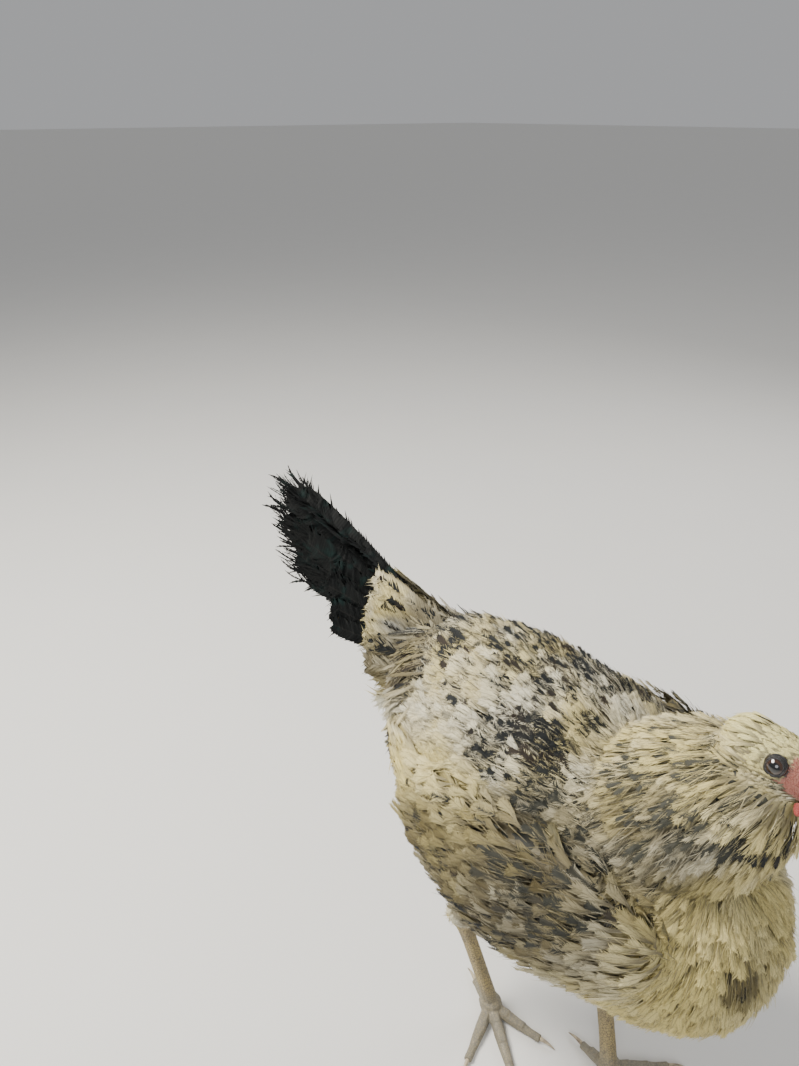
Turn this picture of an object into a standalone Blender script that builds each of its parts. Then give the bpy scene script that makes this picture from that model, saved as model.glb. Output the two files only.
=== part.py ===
"""Desi hen, standing, life size: a still model for a museum shelf.

The hen looks along -Y, its left side is +X and up is +Z. Lengths are metres.
Its soles lie on z = 0, and the origin is the middle of its box at that level.
"""
import math
import random

import bmesh
import bpy
from mathutils import Matrix, Vector
from mathutils.bvhtree import BVHTree

# Gaps and mesh detail
GAP = 0.0003
SEED = 11
BODY_SIDES = 22
NECK_SIDES = 20
HEAD_SIDES = 16
THIGH_SIDES = 16
WING_SIDES = 12
TAIL_SIDES = 14
LEG_SIDES = 10
TOE_SIDES = 8
CLAW_SIDES = 6
# Faces closer than this in direction are joined again after a cut
FLAT_ANGLE = math.radians(0.05)
SHARP_ANGLE = math.radians(50)

# Torso: forward, half width, top and bottom, from the rump to the breast
TORSO = (
    (-0.156, 0.012, 0.292, 0.262),
    (-0.147, 0.032, 0.311, 0.226),
    (-0.118, 0.057, 0.328, 0.184),
    (-0.072, 0.075, 0.335, 0.158),
    (-0.015, 0.082, 0.331, 0.146),
    (0.040, 0.079, 0.316, 0.143),
    (0.080, 0.067, 0.296, 0.153),
    (0.107, 0.049, 0.270, 0.170),
    (0.120, 0.026, 0.240, 0.194),
    (0.123, 0.010, 0.227, 0.207),
)
TORSO_RINGS = 18
TORSO_POWER = 2.25

# Neck: forward, left, up, half width and half depth, from inside the torso to the head
NECK = (
    (0.014, 0.000, 0.238, 0.066, 0.052),
    (0.038, 0.000, 0.273, 0.060, 0.052),
    (0.063, 0.000, 0.301, 0.046, 0.048),
    (0.081, 0.000, 0.325, 0.035, 0.040),
    (0.091, 0.000, 0.341, 0.0255, 0.030),
    (0.096, 0.000, 0.350, 0.013, 0.015),
)
NECK_RINGS = 9

# Long neck feathers: root along the neck, reach and rise of the tip, number round it
HACKLE_TIERS = (
    {"root": 0.50, "reach": 1.34, "rise": -0.004, "count": 15},
    {"root": 0.66, "reach": 1.16, "rise": 0.024, "count": 12},
)
HACKLE_BASE = 0.22
HACKLE_AXIS_TOP = 0.40
HACKLE_FROM = math.radians(-58)
HACKLE_TO = math.radians(238)
HACKLE_STEPS = 4
HACKLE_WIDTH = 0.0260
HACKLE_LIFTS = (0.0022, 0.0028)
HACKLE_TILT = math.radians(7)
HACKLE_FLARE = 0.35

# Head, in its own frame about the point midway between the eyes: forward, half width, top, bottom
HEAD_PLACE = (0.0985, 0.000, 0.360)
HEAD_DIP = math.radians(8)
HEAD_ROLL = math.radians(22)
HEAD = (
    (-0.0275, 0.0050, 0.0005, -0.0080),
    (-0.0240, 0.0105, 0.0070, -0.0140),
    (-0.0155, 0.0147, 0.0120, -0.0178),
    (-0.0050, 0.0160, 0.0138, -0.0188),
    (0.0050, 0.0150, 0.0132, -0.0178),
    (0.0130, 0.0115, 0.0108, -0.0152),
    (0.0190, 0.0080, 0.0080, -0.0120),
    (0.0215, 0.0065, 0.0064, -0.0098),
)
HEAD_RINGS = 12
HEAD_POWER = 2.15

# Eyes and lids
EYE_RADIUS = 0.0060
EYE_OUT = 0.0108
EYE_FORWARD = 0.0015
LID_RADIUS = 0.0049
LID_THICK = 0.0011
LID_OUT = 0.0149
LID_STEPS = 12
LID_HEIGHT = 0.86

# Beak, from the face to the tip
BEAK_START = 0.0218
BEAK_LENGTH = 0.0195
BEAK_LOWER_SHARE = 0.86
BEAK_HALF_WIDTH = 0.0064
BEAK_UPPER_HEIGHT = 0.0070
BEAK_LOWER_HEIGHT = 0.0042
BEAK_TIP_WIDTH = 0.0006
BEAK_TIP_HEIGHT = 0.0009
BEAK_DROP = 0.0058
BEAK_RINGS = 8
BEAK_ARC = 8
MOUTH_LEVEL = -0.0035
NOSTRIL = (0.0262, 0.0052, 0.0010)
NOSTRIL_SIZE = (0.0009, 0.0021, 0.0008)

# Pea comb and wattles
COMB_PLACE = (0.0172, 0.0, 0.0093)
COMB_TILT = math.radians(34)
COMB_HALF_SIZE = (0.0042, 0.0075, 0.0030)
COMB_ROWS = ((-1, 2), (0, 4), (1, 2))
COMB_SIDE_STEP = 0.0029
COMB_ROW_LENGTH = 0.0123
COMB_BEAD = {"middle": 0.0024, "side": 0.0021}
COMB_BEAD_RISE = {"middle": 0.0026, "side": 0.0014}
WATTLE_PLACE = (0.0190, 0.0052, -0.0085)
WATTLE_LENGTH = 0.0085
WATTLE_WIDTH = 0.0066
WATTLE_THICK = 0.0024
WATTLE_SPREAD = 0.0012
WATTLE_RINGS = 7

# Wing under its feathers: forward, up, half height, how far out its middle lies, half thickness
WING_CORE = (
    (0.084, 0.246, 0.008, 0.055, 0.006),
    (0.074, 0.246, 0.024, 0.060, 0.012),
    (0.045, 0.245, 0.036, 0.068, 0.015),
    (0.005, 0.243, 0.042, 0.074, 0.014),
    (-0.040, 0.242, 0.038, 0.072, 0.012),
    (-0.080, 0.241, 0.026, 0.065, 0.009),
    (-0.100, 0.241, 0.015, 0.057, 0.006),
    (-0.108, 0.241, 0.007, 0.053, 0.004),
)
WING_RINGS = 10
# Feather rows of a wing, as forward and up seen from the side: first and last root, first and last tip
WING_TIERS = (
    {"count": 4, "width": 0.017,
     "roots": ((-0.030, 0.202), (-0.040, 0.220)), "tips": ((-0.122, 0.192), (-0.150, 0.222))},
    {"count": 7, "width": 0.026,
     "roots": ((0.016, 0.200), (-0.045, 0.268)), "tips": ((-0.078, 0.174), (-0.138, 0.264))},
    {"count": 6, "width": 0.0255,
     "roots": ((0.046, 0.204), (-0.012, 0.282)), "tips": ((-0.024, 0.184), (-0.078, 0.278))},
    {"count": 5, "width": 0.0245,
     "roots": ((0.066, 0.214), (0.026, 0.282)), "tips": ((0.010, 0.196), (-0.036, 0.284))},
    {"count": 4, "width": 0.020,
     "roots": ((0.077, 0.230), (0.060, 0.272)), "tips": ((0.040, 0.214), (0.014, 0.276))},
)
WING_LIFTS = (0.0026, 0.0032)
WING_BOW = 0.004
WING_CLOSE = 0.50
WING_GUIDE = 0.06
WING_LEAN = 0.2
WING_STEPS = 4
SHINGLE_TILT = math.radians(10)

# Tail: its core as forward, left, up, half width, half depth
TAIL_CORE = (
    (-0.110, 0.000, 0.290, 0.026, 0.024),
    (-0.140, 0.000, 0.293, 0.027, 0.026),
    (-0.165, -0.003, 0.300, 0.017, 0.022),
    (-0.185, -0.006, 0.308, 0.008, 0.014),
    (-0.194, -0.007, 0.312, 0.003, 0.006),
)
TAIL_RINGS = 8
TAIL_TURN = math.radians(11)
TAIL_TOP_RISE = math.radians(29)
TAIL_LOW_RISE = math.radians(8)
# Each set of tail feathers from top to bottom, mirrored to both sides: number, root as forward, left
# and up, rise and outward turn of the first and the last, length, width, sideways tilt, droop and steps
TAIL_SETS = (
    {"count": 6, "forward": -0.146, "left": (0.0062, 0.0062), "up": (0.309, 0.291),
     "rise": (TAIL_TOP_RISE, TAIL_LOW_RISE), "spread": (0.05, 0.05), "length": (0.162, 0.146),
     "width": 0.027, "tilt": math.radians(14), "droop": (0.006, 0.0), "steps": 5},
    {"count": 5, "forward": -0.140, "left": (0.0095, 0.0155), "up": (0.314, 0.286),
     "rise": (TAIL_TOP_RISE * 0.9, TAIL_LOW_RISE * 0.3), "spread": (0.07, 0.22), "length": (0.082, 0.074),
     "width": 0.021, "tilt": math.radians(14), "droop": (0.004, 0.004), "steps": 4},
    {"count": 3, "forward": -0.146, "left": (0.012, 0.012), "up": (0.276, 0.262),
     "rise": (math.radians(-12), math.radians(-52)), "spread": (0.30, 0.30), "length": (0.058, 0.052),
     "width": 0.020, "tilt": 0.0, "droop": (0.004, 0.004), "steps": 4},
)

# Every feather: thickness at the shaft and at the edge, arch across, sunk root and variation
SHAFT_THICK = 0.0011
EDGE_THICK = 0.0006
VANE_ARCH = 0.03
ROOT_SINK = 0.0025
DRAPE_REACH = 0.05
VANE_VARIATION = 0.05
# Cross sections crowd towards the tip, where the outline turns in
STEP_CROWDING = 0.78

# Legs: foot, hock and knee of each, as forward, outward and up, and the turn of its toes
LEGS = {
    "L": {"foot": (0.042, 0.011, 0.010), "hock": (0.010, 0.026, 0.096),
          "knee": (0.040, 0.039, 0.174), "turn": math.radians(8)},
    "R": {"foot": (-0.048, 0.021, 0.010), "hock": (-0.078, 0.030, 0.094),
          "knee": (-0.022, 0.040, 0.172), "turn": math.radians(24)},
}
THIGH_TOP = 0.037
THIGH_LOW = 0.0098
THIGH_FLATNESS = 0.86
THIGH_RISE = 0.020
THIGH_RINGS = 9
SHANK_RADIUS = 0.0055
SHANK_RINGS = 10
HOCK_RADIUS = 0.0078
ANKLE_SWELL = 0.0012
SHANK_SCUTES = 9
SHANK_SCUTE = {"half_width": 0.0052, "half_length": 0.0042, "rise": 0.0007}
TOE_SCUTE = {"half_length": 0.0042, "rise": 0.0008}
TOE_SCUTE_PITCH = 0.0155
TOE_SCUTE_FIRST = 0.012
TOE_SCUTE_END = 0.0046
FOOT_BALL = (0.0092, 0.0100, 0.0085)
FOOT_LEVEL = 0.0082
TOE_RADIUS = 0.0048
TOE_DROP = 0.0012
TOE_STEPS = 6
# Toes: name, turn outwards from forward, length
TOES = (
    ("inner", math.radians(-38), 0.044),
    ("middle", math.radians(4), 0.060),
    ("outer", math.radians(44), 0.046),
    ("hind", math.radians(172), 0.024),
)
CLAW_LENGTH = 0.0125
CLAW_TIP = 0.00045
CLAW_ARCH = 0.0010
CLAW_STEPS = 5

CREAM = (0.78, 0.70, 0.50, 1.0)
BLACK = (0.02, 0.022, 0.022, 1.0)
RED = (0.50, 0.06, 0.05, 1.0)
HORN = (0.45, 0.36, 0.22, 1.0)
LEG_OLIVE = (0.42, 0.36, 0.20, 1.0)
DARK_EYE = (0.03, 0.012, 0.006, 1.0)
ROUGHNESS = {"feather": 0.7, "black feather": 0.4, "skin": 0.55, "scales": 0.5, "horn": 0.38, "eye": 0.1}

X_AXIS = Vector((1, 0, 0))
Y_AXIS = Vector((0, 1, 0))
Z_AXIS = Vector((0, 0, 1))
SIDES = (("L", 1), ("R", -1))

rng = random.Random(SEED)


# Shared tools

def clear_scene():
    for item in list(bpy.data.objects):
        bpy.data.objects.remove(item)


def at(forward, left, up):
    """A point given as the hen sees it."""
    return Vector((left, -forward, up))


def mix(start, end, share):
    return start + (end - start) * share


def mix_rows(start, end, share):
    return tuple(mix(a, b, share) for a, b in zip(start, end))


def varied(value):
    """A size a little larger or smaller, as no two feathers are alike."""
    return value * (1 + rng.uniform(-VANE_VARIATION, VANE_VARIATION))


def shares(count):
    """Places from 0 to 1, the first and the last included."""
    return [index / (count - 1) for index in range(count)]


def curve_row(rows, place):
    """Row of values at a place from 0 to 1 on a smooth curve through the rows."""
    reach = place * (len(rows) - 1)
    index = min(int(reach), len(rows) - 2)
    share = reach - index
    first = rows[max(index - 1, 0)]
    second = rows[index]
    third = rows[index + 1]
    fourth = rows[min(index + 2, len(rows) - 1)]
    out = []
    for a, b, c, d in zip(first, second, third, fourth):
        cube = -a + 3 * b - 3 * c + d
        square = 2 * a - 5 * b + 4 * c - d
        out.append(0.5 * (2 * b + (c - a) * share + square * share ** 2 + cube * share ** 3))
    return out


def oval(centre, side, up, half_width, above, below, sides, power=2.0):
    """Corners of one superellipse section with its own height above and below the centre."""
    points = []
    for index in range(sides):
        angle = math.tau * index / sides
        across = math.copysign(abs(math.cos(angle)) ** (2 / power), math.cos(angle)) * half_width
        height = math.copysign(abs(math.sin(angle)) ** (2 / power), math.sin(angle))
        points.append(centre + side * across + up * height * (above if height > 0 else below))
    return points


def level_rings(rows, count, sides, power):
    """Upright sections through rows of forward, half width, top and bottom."""
    rings = []
    for share in shares(count):
        forward, half_width, top, bottom = curve_row(rows, share)
        half = (top - bottom) / 2
        centre = at(forward, 0, bottom + half)
        rings.append(oval(centre, X_AXIS, Z_AXIS, half_width, half, half, sides, power))
    return rings


def loft(rings):
    """A closed mesh through rings of corners, each ring with the same number."""
    bm = bmesh.new()
    loops = [[bm.verts.new(point) for point in ring] for ring in rings]
    count = len(loops[0])
    for low, high in zip(loops, loops[1:]):
        for index in range(count):
            after = (index + 1) % count
            bm.faces.new((low[index], low[after], high[after], high[index]))
    bm.faces.new(tuple(reversed(loops[0])))
    bm.faces.new(tuple(loops[-1]))
    bmesh.ops.recalc_face_normals(bm, faces=bm.faces)
    return bm


def path_rings(centres, half_widths, half_depths, sides, side_hint):
    """Sections square to a path, as wide as asked across side_hint and deep along the third way."""
    rings = []
    last = len(centres) - 1
    for index, centre in enumerate(centres):
        along = (centres[min(index + 1, last)] - centres[max(index - 1, 0)]).normalized()
        up = along.cross(side_hint).normalized()
        side = up.cross(along).normalized()
        depth = half_depths[index]
        rings.append(oval(centre, side, up, half_widths[index], depth, depth, sides))
    return rings


def placed(rings, matrix):
    return [[matrix @ point for point in ring] for ring in rings]


def ball(name, radius, matrix, segments=12, rings=7, colour=CREAM, roughness=ROUGHNESS["feather"]):
    bm = bmesh.new()
    bmesh.ops.create_uvsphere(bm, u_segments=segments, v_segments=rings, radius=radius, matrix=matrix)
    return make_object(name, bm, colour, roughness)


def stretched(size):
    """A matrix that scales by its own amount along each axis."""
    return Matrix.Diagonal((size[0], size[1], size[2], 1.0))


def make_object(name, bm, colour=CREAM, roughness=ROUGHNESS["feather"]):
    """Turn a bmesh into a smooth shaded object with its own material."""
    mesh = bpy.data.meshes.new(name)
    bm.to_mesh(mesh)
    bm.free()
    made = bpy.data.objects.new(name, mesh)
    bpy.context.scene.collection.objects.link(made)
    material = bpy.data.materials.new(name)
    material.use_nodes = True
    shader = material.node_tree.nodes["Principled BSDF"]
    shader.inputs["Base Color"].default_value = colour
    shader.inputs["Roughness"].default_value = roughness
    shader.inputs["Metallic"].default_value = 0.0
    mesh.materials.append(material)
    mesh.shade_smooth()
    mesh.set_sharp_from_angle(angle=SHARP_ANGLE)
    return made


def inflated(source, distance=GAP):
    """A copy of an object moved outwards along its normals, used to cut its neighbour."""
    bm = bmesh.new()
    bm.from_mesh(source.data)
    bmesh.ops.remove_doubles(bm, verts=bm.verts, dist=1e-6)
    bm.normal_update()
    for vert in bm.verts:
        vert.co += vert.normal * distance * vert.calc_shell_factor()
    cutter = make_object(source.name + "_cutter", bm)
    cutter.hide_render = True
    cutter.display_type = "WIRE"
    return cutter


def combine(target, operation, others, solver="EXACT"):
    """Apply one Boolean with all the other objects, which are then removed."""
    group = bpy.data.collections.new("operands")
    bpy.context.scene.collection.children.link(group)
    for other in others:
        bpy.context.scene.collection.objects.unlink(other)
        group.objects.link(other)
    modifier = target.modifiers.new("combine", "BOOLEAN")
    modifier.operation = operation
    modifier.solver = solver
    modifier.operand_type = "COLLECTION"
    modifier.collection = group
    graph = bpy.context.evaluated_depsgraph_get()
    shape = bpy.data.meshes.new_from_object(target.evaluated_get(graph))
    target.modifiers.clear()
    target.data = shape
    for other in others:
        bpy.data.objects.remove(other)
    bpy.data.collections.remove(group)
    keep_largest(target)


def keep_largest(target):
    """Keep the closed surface that holds the most, and drop scraps and sealed hollows."""
    bm = bmesh.new()
    bm.from_mesh(target.data)
    bmesh.ops.triangulate(bm, faces=bm.faces)
    shells = []
    unseen = set(bm.faces)
    while unseen:
        shell = []
        stack = [unseen.pop()]
        while stack:
            face = stack.pop()
            shell.append(face)
            for edge in face.edges:
                for other in edge.link_faces:
                    if other in unseen:
                        unseen.remove(other)
                        stack.append(other)
        shells.append(shell)
    shells.sort(key=shell_volume)
    for shell in shells[:-1]:
        bmesh.ops.delete(bm, geom=shell, context="FACES")
    loose = [vert for vert in bm.verts if not vert.link_faces]
    bmesh.ops.delete(bm, geom=loose, context="VERTS")
    bmesh.ops.dissolve_limit(bm, angle_limit=FLAT_ANGLE, verts=bm.verts, edges=bm.edges)
    bmesh.ops.triangulate(bm, faces=bm.faces)
    bm.to_mesh(target.data)
    bm.free()


def shell_volume(shell):
    total = 0.0
    for face in shell:
        a, b, c = (vert.co for vert in face.verts)
        total += a.dot(b.cross(c)) / 6
    return total


def tree_of(objects):
    """One search tree over the meshes of several objects."""
    points = []
    polygons = []
    for item in objects:
        first = len(points)
        points.extend(vert.co.copy() for vert in item.data.vertices)
        polygons.extend(tuple(first + index for index in face.vertices) for face in item.data.polygons)
    return BVHTree.FromPolygons(points, polygons)


# Feathers

def vane_shares(count):
    """Places of a feather's cross sections, closer together towards the tip."""
    return [share ** STEP_CROWDING for share in shares(count)]


def vane_widths(width, count, tip, root):
    """Widths along a feather: narrow root, full past the middle, round tip."""
    widths = []
    for share in vane_shares(count):
        if share < 0.6:
            widths.append(width * mix(root, 1.0, math.sin(share / 0.6 * math.pi / 2)))
        else:
            fall = (share - 0.6) / 0.4
            widths.append(width * mix(tip, 1.0, math.sqrt(max(0.0, 1 - fall ** 2))))
    return widths


def vane_mesh(points, normals, widths):
    """A closed feather blade along its shaft, split into triangles alike on both faces."""
    bm = bmesh.new()
    rows = []
    last = len(points) - 1
    for index, (point, normal, width) in enumerate(zip(points, normals, widths)):
        along = (points[min(index + 1, last)] - points[max(index - 1, 0)]).normalized()
        side = normal.cross(along).normalized()
        out = along.cross(side).normalized()
        half = side * width / 2
        drop = out * (-VANE_ARCH * width)
        shaft = out * SHAFT_THICK / 2
        rim = out * EDGE_THICK / 2
        corners = (point - half + drop + rim, point + shaft, point + half + drop + rim,
                   point + half + drop - rim, point - shaft, point - half + drop - rim)
        rows.append([bm.verts.new(corner) for corner in corners])
    for low, high in zip(rows, rows[1:]):
        for outer, inner in ((0, 1), (2, 1), (3, 4), (5, 4)):
            bm.faces.new((low[outer], low[inner], high[inner]))
            bm.faces.new((low[outer], high[inner], high[outer]))
        for upper, lower in ((2, 3), (0, 5)):
            bm.faces.new((low[upper], low[lower], high[lower], high[upper]))
    for row in (rows[0], rows[-1]):
        bm.faces.new((row[0], row[1], row[4], row[5]))
        bm.faces.new((row[1], row[2], row[3], row[4]))
    bmesh.ops.recalc_face_normals(bm, faces=bm.faces)
    return bm


def make_vane(points, normals, width, tip, root):
    return make_object("vane", vane_mesh(points, normals, vane_widths(width, len(points), tip, root)))


def shingled(normals, points, tilt):
    """Turn each normal towards the back, so that a lower edge lies over the next feather down."""
    turned = []
    last = len(points) - 1
    for index, normal in enumerate(normals):
        along = (points[min(index + 1, last)] - points[max(index - 1, 0)]).normalized()
        across = along.cross(normal).normalized()
        if across.z < 0:
            across = -across
        turned.append((normal * math.cos(tilt) + across * math.sin(tilt)).normalized())
    return turned


def drape(tree, path, out, sideways, half_width, lifts):
    """Move each point of a path along out until a feather there clears what lies below it."""
    step = (path[-1] - path[0]) / (len(path) - 1)
    points = []
    for index, point in enumerate(path):
        reach = -DRAPE_REACH
        for across in (-1.0, -0.5, 0.0, 0.5, 1.0):
            for along in (-0.5, 0.0, 0.5):
                spot = point + sideways * (half_width * across) + step * along
                hit, _, _, _ = tree.ray_cast(spot + out * DRAPE_REACH, -out, 2 * DRAPE_REACH)
                if hit is not None:
                    reach = max(reach, (hit - spot).dot(out))
        lift = mix(lifts[0], lifts[1], index / (len(path) - 1))
        points.append(point + out * (reach + lift))
    return points


# Torso and neck

def build_torso():
    rings = level_rings(TORSO, TORSO_RINGS, BODY_SIDES, TORSO_POWER)
    return make_object("torso", loft(rings))


def build_neck():
    rows = [curve_row(NECK, share) for share in shares(NECK_RINGS)]
    centres = [at(row[0], row[1], row[2]) for row in rows]
    rings = path_rings(centres, [row[3] for row in rows], [row[4] for row in rows], NECK_SIDES, X_AXIS)
    return make_object("neck", loft(rings))


def hackle(tree, start, row, low, low_row, axis, angle, tier):
    """One long neck feather that starts on the neck and lies over what the tree holds."""
    depth = axis.cross(X_AXIS).normalized()
    radial = X_AXIS * math.cos(angle) + depth * math.sin(angle)
    root = start + X_AXIS * math.cos(angle) * row[3] + depth * math.sin(angle) * row[4]
    rim = X_AXIS * math.cos(angle) * low_row[3] + depth * math.sin(angle) * low_row[4]
    tip = low + axis * tier["rise"] + rim * varied(tier["reach"])
    path = [root.lerp(tip, share) for share in vane_shares(HACKLE_STEPS)]
    out = (radial + axis * HACKLE_FLARE).normalized()
    sideways = out.cross(tip - root).normalized()
    points = drape(tree, path, out, sideways, HACKLE_WIDTH / 2, HACKLE_LIFTS)
    points[0] = root - out * ROOT_SINK
    normals = shingled([out] * HACKLE_STEPS, points, HACKLE_TILT)
    return make_vane(points, normals, varied(HACKLE_WIDTH), 0.30, 0.45)


def build_hackles(neck, ground):
    """Tiers of long neck feathers that hang over the shoulders and the back."""
    low_row = curve_row(NECK, HACKLE_BASE)
    low = at(low_row[0], low_row[1], low_row[2])
    above = curve_row(NECK, HACKLE_AXIS_TOP)
    axis = (at(above[0], above[1], above[2]) - low).normalized()
    vanes = []
    for tier in HACKLE_TIERS:
        tree = tree_of(ground + vanes)
        row = curve_row(NECK, tier["root"])
        start = at(row[0], row[1], row[2])
        angles = [mix(HACKLE_FROM, HACKLE_TO, share) for share in shares(tier["count"])]
        made = [hackle(tree, start, row, low, low_row, axis, angle, tier) for angle in angles]
        vanes.extend(made)
    combine(neck, "UNION", vanes, "MANIFOLD")


# Head

def head_matrix():
    roll = Matrix.Rotation(HEAD_ROLL, 4, "Y")
    dip = Matrix.Rotation(HEAD_DIP, 4, "X")
    return Matrix.Translation(at(*HEAD_PLACE)) @ dip @ roll


def build_lids(place, side):
    """Both lids as one raised ring round the eye's opening."""
    bm = bmesh.new()
    profile = bmesh.ops.create_circle(bm, cap_ends=False, segments=4, radius=LID_THICK)["verts"]
    upright = Matrix.Translation((LID_RADIUS, 0, 0)) @ Matrix.Rotation(math.pi / 2, 4, "X")
    bmesh.ops.transform(bm, verts=profile, matrix=upright)
    bmesh.ops.spin(bm, geom=profile + list(bm.edges), cent=(0, 0, 0), axis=(0, 0, 1), angle=math.tau,
                   steps=LID_STEPS, use_merge=True, use_duplicate=False)
    bmesh.ops.remove_doubles(bm, verts=bm.verts, dist=1e-6)
    bmesh.ops.recalc_face_normals(bm, faces=bm.faces)
    bmesh.ops.scale(bm, verts=bm.verts, vec=(LID_HEIGHT, 1.0, 1.0))
    facing = Matrix.Rotation(side * math.pi / 2, 4, "Y")
    spot = Matrix.Translation(at(EYE_FORWARD, side * LID_OUT, 0))
    bmesh.ops.transform(bm, verts=bm.verts, matrix=place @ spot @ facing)
    return make_object("lids", bm)


def build_head(place):
    """The head with its lids and eyes, and a copy without them that cuts the neck."""
    head = make_object("head", loft(placed(level_rings(HEAD, HEAD_RINGS, HEAD_SIDES, HEAD_POWER), place)))
    room = inflated(head)
    lids = []
    sockets = []
    for mark, side in SIDES:
        spot = place @ Matrix.Translation(at(EYE_FORWARD, side * EYE_OUT, 0))
        lids.append(build_lids(place, side))
        sockets.append(ball("socket", EYE_RADIUS + GAP, spot))
        ball("eye_" + mark, EYE_RADIUS, spot, colour=DARK_EYE, roughness=ROUGHNESS["eye"])
    combine(head, "UNION", lids)
    combine(head, "DIFFERENCE", sockets)
    return head, room


def beak_rings(height, length, direction):
    """Half sections of a beak half, flat along the mouth and arched upwards (1) or downwards (-1)."""
    rings = []
    for share in shares(BEAK_RINGS):
        level = MOUTH_LEVEL - BEAK_DROP * share ** 2.2 + direction * GAP / 2
        width = BEAK_HALF_WIDTH * (1 - share ** 1.5) + BEAK_TIP_WIDTH
        tall = height * (1 - share ** 1.7) + BEAK_TIP_HEIGHT
        ring = []
        for corner in range(BEAK_ARC + 1):
            angle = math.pi * corner / BEAK_ARC
            rise = direction * math.sin(angle) * tall
            ring.append(at(BEAK_START + length * share, math.cos(angle) * width, level + rise))
        rings.append(ring)
    return rings


def build_beak(place):
    """Upper and lower beak, parted by the line of the mouth, with both nostrils cut in."""
    upper_rings = beak_rings(BEAK_UPPER_HEIGHT, BEAK_LENGTH, 1)
    lower_rings = beak_rings(BEAK_LOWER_HEIGHT, BEAK_LENGTH * BEAK_LOWER_SHARE, -1)
    upper = make_object("beak_upper", loft(placed(upper_rings, place)), HORN, ROUGHNESS["horn"])
    lower = make_object("beak_lower", loft(placed(lower_rings, place)), HORN, ROUGHNESS["horn"])
    nostrils = []
    for _, side in SIDES:
        spot = Matrix.Translation(at(NOSTRIL[0], side * NOSTRIL[1], NOSTRIL[2]))
        nostrils.append(ball("nostril", 1.0, place @ spot @ stretched(NOSTRIL_SIZE), 8, 6))
    combine(upper, "DIFFERENCE", nostrils)
    return upper, lower


def build_comb(place, head, upper):
    """A low pea comb: a middle row of beads with a shorter row on each side."""
    seat = place @ Matrix.Translation(at(*COMB_PLACE)) @ Matrix.Rotation(COMB_TILT, 4, "X")
    comb = ball("comb", 1.0, seat @ stretched(COMB_HALF_SIZE), 10, 6, RED, ROUGHNESS["skin"])
    beads = []
    for row, count in COMB_ROWS:
        kind = "side" if row else "middle"
        for index in range(count):
            share = (index + 0.5) / count - 0.5
            spot = Vector((row * COMB_SIDE_STEP, share * COMB_ROW_LENGTH, COMB_BEAD_RISE[kind]))
            radius = COMB_BEAD[kind] * (1 - 0.5 * share ** 2)
            beads.append(ball("bead", radius, seat @ Matrix.Translation(spot), 6, 4))
    combine(comb, "UNION", beads)
    combine(comb, "DIFFERENCE", [inflated(head), inflated(upper)])


def build_wattles(place, neighbours):
    for mark, side in SIDES:
        rings = []
        for share in shares(WATTLE_RINGS):
            swell = math.sin(math.pi * (0.12 + 0.83 * share)) ** 0.7
            left = side * (WATTLE_PLACE[1] + WATTLE_SPREAD * share)
            centre = at(WATTLE_PLACE[0], left, WATTLE_PLACE[2] - WATTLE_LENGTH * share)
            half_thick = WATTLE_THICK / 2 * swell
            rings.append(oval(centre, Y_AXIS, X_AXIS, WATTLE_WIDTH / 2 * swell, half_thick, half_thick, 8))
        wattle = make_object("wattle_" + mark, loft(placed(rings, place)), RED, ROUGHNESS["skin"])
        combine(wattle, "DIFFERENCE", [inflated(item) for item in neighbours])


# Wings

def wing_vane(core_tree, tree, side, root, tip, width):
    """One wing feather, given by its root and tip seen from the side."""
    path = []
    for share in vane_shares(WING_STEPS):
        up = mix(root[1], tip[1], share) + WING_BOW * math.sin(math.pi * share)
        path.append(at(mix(root[0], tip[0], share), side * WING_GUIDE, up))
    out = Vector((side, 0, WING_LEAN)).normalized()
    sideways = out.cross(path[-1] - path[0]).normalized()
    points = drape(tree, path, out, sideways, width / 2, WING_LIFTS)
    points[0] = drape(core_tree, path, out, sideways, 0.0, (-ROOT_SINK, -ROOT_SINK))[0]
    drop = WING_CLOSE * (root[0] - tip[0]) / (WING_STEPS - 1)
    for index in range(2, WING_STEPS):
        short = abs(points[index - 1].x) - drop - abs(points[index].x)
        if short > 0:
            points[index].x += side * short
    normals = shingled([out] * WING_STEPS, points, SHINGLE_TILT)
    return make_vane(points, normals, width, 0.25, 0.45)


def build_wing(mark, side, torso):
    rings = []
    for share in shares(WING_RINGS):
        forward, up, half_height, out, thick = curve_row(WING_CORE, share)
        centre = at(forward, side * out, up)
        rings.append(oval(centre, Z_AXIS, X_AXIS * side, half_height, thick, thick, WING_SIDES))
    wing = make_object("wing_" + mark, loft(rings))
    combine(wing, "DIFFERENCE", [inflated(torso)])
    core_tree = tree_of([torso, wing])
    vanes = []
    for tier in WING_TIERS:
        tree = tree_of([torso, wing] + vanes)
        made = []
        for share in shares(tier["count"]):
            root = mix_rows(tier["roots"][0], tier["roots"][1], share)
            tip = mix_rows(tier["tips"][0], tier["tips"][1], share)
            tip = (root[0] + varied(tip[0] - root[0]), tip[1])
            made.append(wing_vane(core_tree, tree, side, root, tip, varied(tier["width"])))
        vanes.extend(made)
    combine(wing, "UNION", vanes, "MANIFOLD")
    combine(wing, "DIFFERENCE", [inflated(torso)])
    return wing


# Tail

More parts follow.
